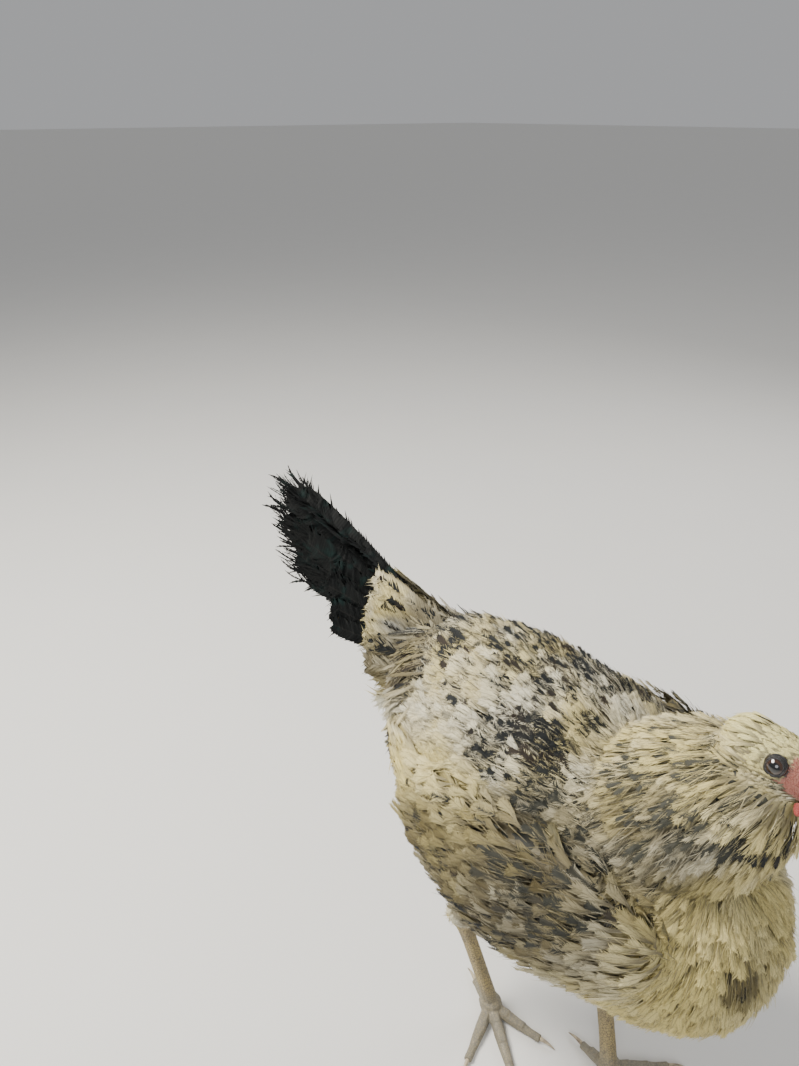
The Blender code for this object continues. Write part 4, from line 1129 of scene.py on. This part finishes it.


# Marked places on the hen, some of them painted shade: name, centre, half sizes, and how strong the mark is there
DARK_PLACES = (
    ("shoulder cluster", (-0.044, -0.065, 0.319), (0.022, 0.035, 0.030), 0.97),
    ("shoulder edge", (-0.050, -0.058, 0.314), (0.032, 0.050, 0.036), 0.70),
    ("below the shoulder", (-0.064, -0.084, 0.302), (0.018, 0.024, 0.024), 0.88),
    ("nape spot", (-0.017, -0.081, 0.332), (0.012, 0.010, 0.014), 0.98),
    ("mid back spot", (0.025, -0.045, 0.331), (0.015, 0.016, 0.014), 1.00),
    ("fore back", (0.011, -0.072, 0.336), (0.022, 0.022, 0.018), 0.74),
    ("saddle", (0.010, -0.024, 0.332), (0.050, 0.056, 0.028), 0.84),
    ("rump spot", (-0.018, 0.026, 0.327), (0.012, 0.011, 0.014), 0.98),
    ("rump", (0.000, 0.040, 0.322), (0.060, 0.040, 0.034), 0.66),
    ("root of the tail", (-0.020, 0.070, 0.312), (0.050, 0.036, 0.040), 0.46),
    ("top of the coverts", (-0.008, 0.085, 0.340), (0.026, 0.034, 0.016), 0.66),
    ("covert blotch", (-0.018, 0.087, 0.325), (0.012, 0.009, 0.007), 1.00),
    ("under the quill vane", (-0.023, 0.081, 0.296), (0.012, 0.014, 0.008), 0.95),
    ("back", (0.000, -0.020, 0.325), (0.085, 0.080, 0.036), 0.40),
    ("wing tip", (-0.065, 0.045, 0.252), (0.020, 0.012, 0.012), 0.90),
    ("wing", (-0.090, -0.020, 0.262), (0.026, 0.080, 0.050), 0.22),
    # Painted shade in part: the flank's marks are set denser than its plumage alone, for the shade low on the
    # flank
    ("flank", (-0.088, -0.065, 0.222), (0.050, 0.055, 0.045), 0.48),
    ("neck", (-0.030, -0.140, 0.330), (0.060, 0.050, 0.045), 0.46),
    # Painted shade in part: the cape's marks are set denser than its plumage alone, for the shade on the cape
    ("cape", (-0.075, -0.105, 0.275), (0.048, 0.048, 0.058), 0.60),
    # Painted shadow: the dark band of the fold under the throat, where the neck feathers hang over the breast;
    # these fold rows are shade, not plumage marks
    ("fold by the cape", (-0.058, -0.136, 0.300), (0.014, 0.017, 0.0075), 0.88),
    ("fold mid neck", (-0.043, -0.161, 0.315), (0.013, 0.015, 0.0070), 1.00),
    ("fold under the cheek", (-0.031, -0.175, 0.317), (0.013, 0.013, 0.0060), 1.00),
    ("fold at the throat", (-0.016, -0.190, 0.318), (0.017, 0.013, 0.0070), 1.00),
    ("cheek mark", (-0.0165, -0.182, 0.3560), (0.009, 0.0070, 0.0030), 0.70),
    ("behind the jaw", (-0.0165, -0.177, 0.3440), (0.009, 0.007, 0.0050), 0.62),
    # Painted shadow of the throat fold, at its front
    ("fold in front", (0.012, -0.196, 0.292), (0.022, 0.014, 0.0080), 0.98),
    ("under the tail", (-0.034, 0.050, 0.296), (0.030, 0.026, 0.026), 0.62),
    ("breast flecks", (-0.064, -0.158, 0.275), (0.030, 0.025, 0.030), 0.30),
    ("breast tuft", (-0.025, -0.198, 0.230), (0.009, 0.009, 0.011), 0.62),
)
# Buff places: the own buff-brown of the shaggy feathers, and painted shade on the lower flank, thighs, cape,
# lower neck and above the throat fold
BUFF_AND_SHADE_PLACES = (
    ("breast tuft", (-0.025, -0.198, 0.232), (0.014, 0.014, 0.018), 1.00),
    ("flank", (-0.098, -0.045, 0.230), (0.045, 0.062, 0.050), 1.00),
    ("cape and flank", (-0.082, -0.095, 0.258), (0.055, 0.062, 0.060), 1.00),
    ("thigh fluff", (-0.070, -0.030, 0.175), (0.085, 0.095, 0.085), 0.95),
    ("neck side", (-0.050, -0.140, 0.300), (0.050, 0.045, 0.045), 0.75),
    ("under tail", (0.000, 0.075, 0.272), (0.075, 0.050, 0.045), 1.00),
    ("tail root", (-0.034, 0.055, 0.300), (0.036, 0.030, 0.026), 0.95),
    ("neck over the fold", (-0.056, -0.138, 0.312), (0.022, 0.020, 0.016), 0.90),
    ("rump", (0.000, 0.062, 0.312), (0.060, 0.032, 0.030), 0.72),
)
OLIVE_PLACES = (
    ("neck", (-0.020, -0.135, 0.325), (0.080, 0.052, 0.055), 0.80),
    ("cape", (-0.075, -0.105, 0.275), (0.050, 0.050, 0.055), 0.50),
    ("cheek", (-0.0165, -0.180, 0.352), (0.012, 0.013, 0.013), 1.00),
)
GREY_PLACES = (
    ("quill vane", (-0.022, 0.086, 0.313), (0.012, 0.018, 0.008), 0.95),
)
# The crown's own saturated yellow, and painted light on its top
LEMON_AND_LIGHT_PLACES = (
    ("crown", (-0.004, -0.178, 0.376), (0.028, 0.034, 0.020), 1.00),
)
YELLOW_PLACES = (
    ("wing", (-0.088, -0.010, 0.262), (0.034, 0.085, 0.055), 0.70),
    ("breast", (-0.030, -0.185, 0.225), (0.085, 0.055, 0.085), 0.75),
    ("crown", (-0.004, -0.176, 0.374), (0.024, 0.040, 0.022), 1.00),
    ("throat", (0.000, -0.185, 0.320), (0.045, 0.030, 0.030), 0.80),
    ("neck", (-0.010, -0.135, 0.335), (0.060, 0.050, 0.040), 0.50),
)


def both_sides(rows):
    """The listed places, with those well off the middle on the other side too."""
    return rows + tuple((name + ", other side", (-centre[0], *centre[1:]), halves, strength)
                        for name, centre, halves, strength in rows
                        # The painted fold shadow stays on the right side only
                        if centre[0] < -0.043 and not name.startswith("fold"))


def place_mask(graph, place, rows):
    """How strongly a point lies in the listed places."""
    total = None
    for _, centre, halves, strength in both_sides(rows):
        away = graph.vector("LENGTH", graph.vector("DIVIDE", graph.vector("SUBTRACT", place, centre), halves))
        mask = graph.ramp(away, 1.15, 0.55, 0.0, strength)
        total = mask if total is None else graph.math("MAXIMUM", total, mask)
    return total


@cache
def markings_group():
    """The hen's colours, with some painted shade and light, from a place on its body, a random pick and the place
    on a feather.
    """
    tree, graph, given, out = new_group(
        "hen markings", {"Place": None, "Point": None, "Pick": 0.5, "Along": 0.8, "Across": 0.5, "Barb": 0.5},
        ("Color", "Dark"))
    place, point, pick, along, across, barb = given[:6]
    mix, ramp, times, plus = graph.mix, graph.ramp, graph.times, graph.plus
    second, third = (graph.math("FRACT", times(pick, number)) for number in (7.31, 19.7))
    shaft = graph.from_shaft(across)
    # Ground colour, from yellow cream to white, and in the shaggy places a dark buff: the flanks' own buff-brown,
    # set darker so that it also paints the shade on lower flank, thighs, cape and lower neck
    patches = ramp(graph.noise(place, 30.0, 3.0, 0.55), 0.35, 0.65)
    base = mix(patches, colour("cream"), colour("pale"))
    base = mix(place_mask(graph, place, YELLOW_PLACES), base, colour("yellow"))
    # Lemon crown: its own yellow, brightened as painted light
    lemon_and_light = place_mask(graph, place, LEMON_AND_LIGHT_PLACES)
    base = mix(lemon_and_light, base, colour("lemon_and_light"))
    buff_and_shade = times(place_mask(graph, place, BUFF_AND_SHADE_PLACES), graph.math("MULTIPLY_ADD", third, 0.36, 0.62))
    base = mix(buff_and_shade, base, colour("buff_and_shade"))
    base = mix(place_mask(graph, place, GREY_PLACES), base, colour("vane_grey"))
    base = mix(1.0, base, mix(second, (0.82, 0.80, 0.76), WHITE), "MULTIPLY")
    base = mix(1.0, base, mix(barb, (0.78, 0.76, 0.72), WHITE), "MULTIPLY")
    # Pencilled edges and shafts
    edge = times(ramp(shaft, 0.26, 0.46), ramp(third, 0.35, 0.85))
    base = mix(times(edge, graph.math("MULTIPLY_ADD", lemon_and_light, -0.40, 0.55)), base, colour("umber"))
    base = mix(times(ramp(shaft, 0.05, 0.01), 0.40), base, colour("umber"))
    # Darker grey towards each feather's root: its own grey down, and also painted shade between the overlapping
    # feathers
    base = mix(times(ramp(along, 0.60, 0.20), 0.75), base, colour("down"))
    base = mix(ramp(graph.noise(point, 900.0, 2.0, 0.6), 0.52, 0.72, 0.0, 0.30), base, colour("umber"))
    # Dark marks at the tips and along the shafts of picked feathers; in the throat fold, and in part on cape and
    # flank, they are painted shade
    density = place_mask(graph, place, DARK_PLACES)
    blotch = graph.noise(graph.vector("MULTIPLY", place, (1.0, 0.65, 0.9)), 150.0, 2.0, 0.5)
    chance = plus(times(ramp(blotch, 0.33, 0.67), 0.62), times(pick, 0.38))
    flagged = ramp(graph.math("SUBTRACT", times(density, 0.92), chance), -0.01, 0.03)
    ragged = graph.math("MULTIPLY_ADD", barb, 0.40, -0.20)
    tip = ramp(plus(along, ragged), 0.50, 0.72)
    streak = ramp(plus(shaft, ragged), 0.20, 0.10)
    marked = times(flagged, graph.math("MAXIMUM", times(tip, ramp(second, 0.25, 0.45)), streak))
    whole = times(ramp(second, 0.84, 0.74), ramp(plus(shaft, ragged), 0.42, 0.30))
    dark = graph.math("MAXIMUM", marked, times(ramp(density, 0.84, 0.94), whole))
    ink = mix(ramp(graph.noise(place, 55.0, 3.0, 0.6), 0.36, 0.50), colour("brown_black"), colour("charcoal"))
    ink = mix(place_mask(graph, place, OLIVE_PLACES), ink, colour("olive_grey"))
    graph.fill(out, Color=mix(dark, base, ink), Dark=dark)
    return tree


# Materials

def material(name):
    """Makes one material, once, from a function that gives the inputs of its shader."""
    def maker(look):
        @cache
        def made():
            item = bpy.data.materials.new(name)
            item.use_nodes = True
            item.node_tree.nodes.clear()
            graph = Graph(item.node_tree)
            shader = graph.node("BsdfPrincipled")
            graph.fill(graph.node("OutputMaterial"), Surface=shader.outputs[0])
            for key, value in look(graph).items():
                graph.feed(shader.inputs[key], value)
            return item
        return made
    return maker


def barb_lines(graph, lines):
    """The barbs group, fed with the feather's own map and pick."""
    vane = graph.node("UVMap", uv_map="vane").outputs["UV"]
    group = graph.group(barbs_group(), Vane=vane, Pick=graph.attribute("pick"), Lines=lines)
    return [group[name] for name in ("Across", "Along", "Ribs", "Barb")]


@material("flecked feathers")
def feather_material(graph):
    across, along, ribs, barb = barb_lines(graph, 180.0)
    marks = graph.group(markings_group(), Place=graph.attribute("shown_place", "Vector"), Point=graph.place(),
                        Pick=graph.attribute("pick"), Along=along, Across=across, Barb=barb)
    furrow = graph.math("MULTIPLY_ADD", ribs, 0.14, 0.14)
    return {
        "Base Color": graph.mix(furrow, marks["Color"], (0.42, 0.38, 0.30), "MULTIPLY"),
        "Roughness": graph.math("MULTIPLY_ADD", marks["Dark"], -0.22, 0.78),
        "Specular IOR Level": 0.25,
        "Normal": graph.bump(ribs, 0.30, 0.0002),
    }


def ellipse_mask(graph, local, centre, halves, scale, low, high):
    """A mask round a place in the head's own frame, its edge broken up by noise."""
    away = graph.vector("LENGTH", graph.vector("DIVIDE", graph.vector("SUBTRACT", local, centre), halves))
    return graph.ramp(graph.plus(away, graph.noise(local, scale)), low, high)


@material("feathered skin")
def skin_material(graph):
    place = graph.place()
    patch = graph.node("SeparateColor")
    graph.feed(patch.inputs[0], graph.cells(place, 190.0)["Color"])
    marks = graph.group(markings_group(), Place=place, Point=place, Pick=patch.outputs[0])
    mapping = graph.node("Mapping", vector_type="TEXTURE")
    local = graph.fill(mapping, Vector=place, Location=HEAD_MATRIX.translation,
                       Rotation=HEAD_MATRIX.to_euler())[0]
    red = ellipse_mask(graph, local, (0.0, -0.0125, -0.0015), (0.020, 0.0135, 0.0110), 400.0, 1.65, 1.25)
    grey = ellipse_mask(graph, local, (0.0, -0.002, 0.0), (0.030, 0.0066, 0.0062), 500.0, 1.70, 1.35)
    wrinkles = graph.noise(place, 900.0, 3.0, 0.6)
    color = graph.mix(red, marks["Color"], graph.mix(wrinkles, colour("face_dark"), colour("face_light")))
    return {
        "Base Color": graph.mix(graph.times(grey, 0.9), color, colour("eye_skin")),
        "Roughness": graph.ramp(wrinkles, 0.2, 0.8, 0.55, 0.75),
        "Normal": graph.bump(wrinkles, 0.4, 0.0006),
    }


@material("black tail feathers")
def tail_material(graph):
    across, _, ribs, barb = barb_lines(graph, 420.0)
    place = graph.place()
    black = graph.mix(graph.noise(place, 60.0), (0.003, 0.0035, 0.004), colour("tail_black"))
    black = graph.mix(graph.times(barb, 0.4), black, (0.013, 0.014, 0.013))
    sheen = graph.mix(graph.ramp(graph.noise(place, 90.0), 0.50, 0.75, 0.0, 0.6), black, colour("tail_sheen"))
    shaft = graph.ramp(graph.from_shaft(across), 0.035, 0.010)
    color = graph.mix(graph.times(shaft, 0.5), sheen, (0.018, 0.017, 0.016))
    rootward = graph.ramp(graph.split(place)[1], 0.110, 0.085)
    pale_root = graph.times(rootward, graph.ramp(graph.attribute("pick"), 0.35, 0.75))
    return {
        "Base Color": graph.mix(pale_root, color, (0.35, 0.31, 0.22)),
        "Roughness": graph.math("MULTIPLY_ADD", ribs, 0.05, 0.70),
        "Specular IOR Level": 0.10,
        "Normal": graph.bump(ribs, 0.20, 0.0002),
    }


@material("wet eye")
def eye_material(graph):
    away = graph.attribute("from_pupil")
    rays = graph.noise(graph.place(), 2600.0, 2.0, 0.6)
    iris = graph.mix(rays, colour("iris_dark"), colour("iris_light"))
    rim = graph.mix(graph.ramp(away, 0.40, 0.50), iris, (0.02, 0.014, 0.012))
    return {
        "Base Color": graph.mix(graph.ramp(away, 0.285, 0.255), rim, (0.003, 0.003, 0.003)),
        "Roughness": graph.ramp(rays, 0.2, 0.8, 0.05, 0.08),
        "Coat Weight": 1.0,
        "Coat Roughness": 0.02,
    }


def flesh(graph, low, high, scale, strength):
    """The inputs of pebbled bare skin, between two tones."""
    group = graph.group(pebbles_group(), Place=graph.place(), Scale=scale)
    pebble, drift = group["Pebble"], group["Drift"]
    color = graph.mix(graph.ramp(pebble, 0.05, 0.65), high, low)
    return {
        "Base Color": graph.mix(graph.ramp(drift, 0.35, 0.75), color, low),
        "Roughness": graph.ramp(pebble, 0.0, 0.7, 0.42, 0.62),
        "Subsurface Weight": 0.15,
        "Subsurface Radius": (0.0015, 0.0006, 0.0004),
        "Normal": graph.bump(graph.math("SUBTRACT", 1.0, pebble), strength, 0.0004),
    }


@material("pebbled red skin")
def red_material(graph):
    return flesh(graph, colour("comb_dark"), colour("comb_light"), 1500.0, 0.5)


@material("bare face skin")
def face_material(graph):
    return flesh(graph, colour("face_dark"), colour("face_light"), 1300.0, 0.4)


@material("grey lid skin")
def lid_material(graph):
    return flesh(graph, (0.016, 0.016, 0.017), (0.052, 0.048, 0.046), 1900.0, 0.5)


@material("beak and claw horn")
def horn_material(graph):
    place = graph.place()
    grain = graph.noise(graph.vector("MULTIPLY", place, (1.0, 0.25, 1.0)), 700.0, 3.0, 0.6)
    color = graph.mix(grain, colour("horn_dark"), colour("horn_light"))
    return {
        "Base Color": graph.mix(graph.ramp(graph.noise(place, 160.0), 0.45, 0.75), color, (0.16, 0.12, 0.09)),
        "Roughness": graph.ramp(grain, 0.2, 0.8, 0.30, 0.48),
        "Normal": graph.bump(grain, 0.15, 0.0003),
    }


@material("scaly leg skin")
def leg_material(graph):
    place = graph.place()
    plates = graph.ramp(graph.cells(place, 520.0, feature="DISTANCE_TO_EDGE")["Distance"], 0.0, 0.16)
    broad = graph.ramp(graph.noise(place, 70.0, 3.0), 0.40, 0.75)
    color = graph.mix(plates, (0.15, 0.12, 0.08), graph.mix(broad, colour("leg"), (0.24, 0.20, 0.11)))
    low = graph.ramp(graph.split(place)[2], 0.034, 0.008)
    return {
        "Base Color": graph.mix(graph.times(low, 0.70), color, (0.20, 0.19, 0.16)),
        "Roughness": graph.ramp(plates, 0.0, 1.0, 0.75, 0.48),
        "Normal": graph.bump(plates, 0.5, 0.0004),
    }


@material("pale floor")
def floor_material(graph):
    worn = tuple(0.97 * part for part in colour("floor"))
    color = graph.mix(graph.noise(graph.place(), 9.0, 3.0), worn, colour("floor"))
    return {"Base Color": color, "Roughness": 0.7}


# Stage

CAMERA_FROM_EYE = (-0.3186, -0.0976, 0.2736)
CAMERA_LOOK = (0.576, 0.669, -0.4695)
CAMERA_LENS = 27.02
SENSOR_WIDTH = 36.0
LIGHTS = (  # name, place, aim, size, power, colour
    ("window light", (-0.6, 0.7, 1.6), (0, -0.05, 0.25), 0.8, 52.0, (1.0, 0.96, 0.88)),
    ("room light", (-1.2, -0.9, 1.2), (0, 0, 0.2), 1.0, 11.0, (0.97, 0.98, 1.0)),
    ("far fill", (1.3, 0.1, 1.1), (0, 0, 0.2), 1.0, 8.0, (1.0, 0.98, 0.95)),
)
ROOM_COLOUR = (0.93, 0.94, 0.96, 1.0)
ROOM_STRENGTH = 0.42


def aimed(name, data, place, way):
    """A light or camera at a place, looking a way."""
    made = add_object(name, data)
    made.location = place
    made.rotation_euler = Vector(way).to_track_quat("-Z", "Y").to_euler()
    return made


def build_stage():
    """A plain pale floor, soft lights and the camera that stands where the photograph was taken."""
    bm = bmesh.new()
    bmesh.ops.create_grid(bm, x_segments=4, y_segments=4, size=30.0)
    floor = finish_mesh("floor", bm)
    floor.data.materials.append(floor_material())
    for name, place, aim, width, power, tone in LIGHTS:
        lamp = bpy.data.lights.new(name, "AREA")
        lamp.shape = "DISK"
        lamp.size, lamp.energy, lamp.color = width, power, tone
        aimed(name, lamp, place, Vector(aim) - Vector(place))
    world = bpy.data.worlds.new("soft room")
    world.use_nodes = True
    sky = world.node_tree.nodes["Background"].inputs
    sky["Color"].default_value, sky["Strength"].default_value = ROOM_COLOUR, ROOM_STRENGTH
    bpy.context.scene.world = world
    lens = bpy.data.cameras.new("photo camera")
    lens.sensor_width, lens.lens = SENSOR_WIDTH, CAMERA_LENS
    spot = middle("eye_R") + Vector(CAMERA_FROM_EYE)
    bpy.context.scene.camera = aimed("photo camera", lens, spot, CAMERA_LOOK)


# The add-on

class HEN_OT_stage(bpy.types.Operator):
    """Make the floor, lights and camera"""
    bl_idname = "hen.stage"
    bl_label = "Stage"

    def execute(self, context):
        build_stage()
        return {"FINISHED"}


class HEN_OT_skin(bpy.types.Operator):
    """Make the one skin under the coat"""
    bl_idname = "hen.skin"
    bl_label = "Skin"

    def execute(self, context):
        build_skin()
        return {"FINISHED"}


class HEN_OT_body_coat(bpy.types.Operator):
    """Lay the feathers of back, breast, belly and thighs"""
    bl_idname = "hen.body_coat"
    bl_label = "Body coat"

    def execute(self, context):
        build_body_coat()
        return {"FINISHED"}


class HEN_OT_neck_coat(bpy.types.Operator):
    """Lay the feathers of neck and head"""
    bl_idname = "hen.neck_coat"
    bl_label = "Neck and head coat"

    def execute(self, context):
        build_neck_coat()
        return {"FINISHED"}


class HEN_OT_wings(bpy.types.Operator):
    """Make both folded wings"""
    bl_idname = "hen.wings"
    bl_label = "Wings"

    def execute(self, context):
        for mark, side in SIDES:
            build_wing(mark, side)
        return {"FINISHED"}


class HEN_OT_tail(bpy.types.Operator):
    """Make the black tail and its coverts"""
    bl_idname = "hen.tail"
    bl_label = "Tail"

    def execute(self, context):
        build_tail()
        return {"FINISHED"}


class HEN_OT_face(bpy.types.Operator):
    """Make eyes, lids, comb, wattles and beak"""
    bl_idname = "hen.face"
    bl_label = "Face"

    def execute(self, context):
        build_eyes()
        build_lids()
        build_face_skin()
        build_comb()
        build_beak()
        return {"FINISHED"}


class HEN_OT_legs(bpy.types.Operator):
    """Make scaly legs, feet and claws"""
    bl_idname = "hen.legs"
    bl_label = "Legs"

    def execute(self, context):
        build_legs()
        return {"FINISHED"}


STEPS = (HEN_OT_stage, HEN_OT_skin, HEN_OT_body_coat, HEN_OT_neck_coat, HEN_OT_wings, HEN_OT_tail,
         HEN_OT_face, HEN_OT_legs)


class HEN_PT_panel(bpy.types.Panel):
    """Lists the hen's making steps"""
    bl_idname = "HEN_PT_panel"
    bl_label = "Desi hen"
    bl_space_type = "VIEW_3D"
    bl_region_type = "UI"
    bl_category = "Hen"

    def draw(self, context):
        for group in (context.scene.hen_sizes, context.scene.hen_colours):
            for name in type(group).__annotations__:
                self.layout.prop(group, name)
        for step in STEPS:
            self.layout.operator(step.bl_idname)


CLASSES = (HenSizes, HenColours) + STEPS + (HEN_PT_panel,)


def register():
    for item in CLASSES:
        bpy.utils.register_class(item)
    bpy.types.Scene.hen_sizes = PointerProperty(type=HenSizes)
    bpy.types.Scene.hen_colours = PointerProperty(type=HenColours)


def unregister():
    del bpy.types.Scene.hen_sizes
    del bpy.types.Scene.hen_colours
    for item in reversed(CLASSES):
        bpy.utils.unregister_class(item)


def main():
    register()
    bpy.ops.hen.stage()
    bpy.ops.hen.skin()
    bpy.ops.hen.body_coat()
    bpy.ops.hen.neck_coat()
    bpy.ops.hen.wings()
    bpy.ops.hen.tail()
    bpy.ops.hen.face()
    bpy.ops.hen.legs()


if __name__ == "__main__":
    main()
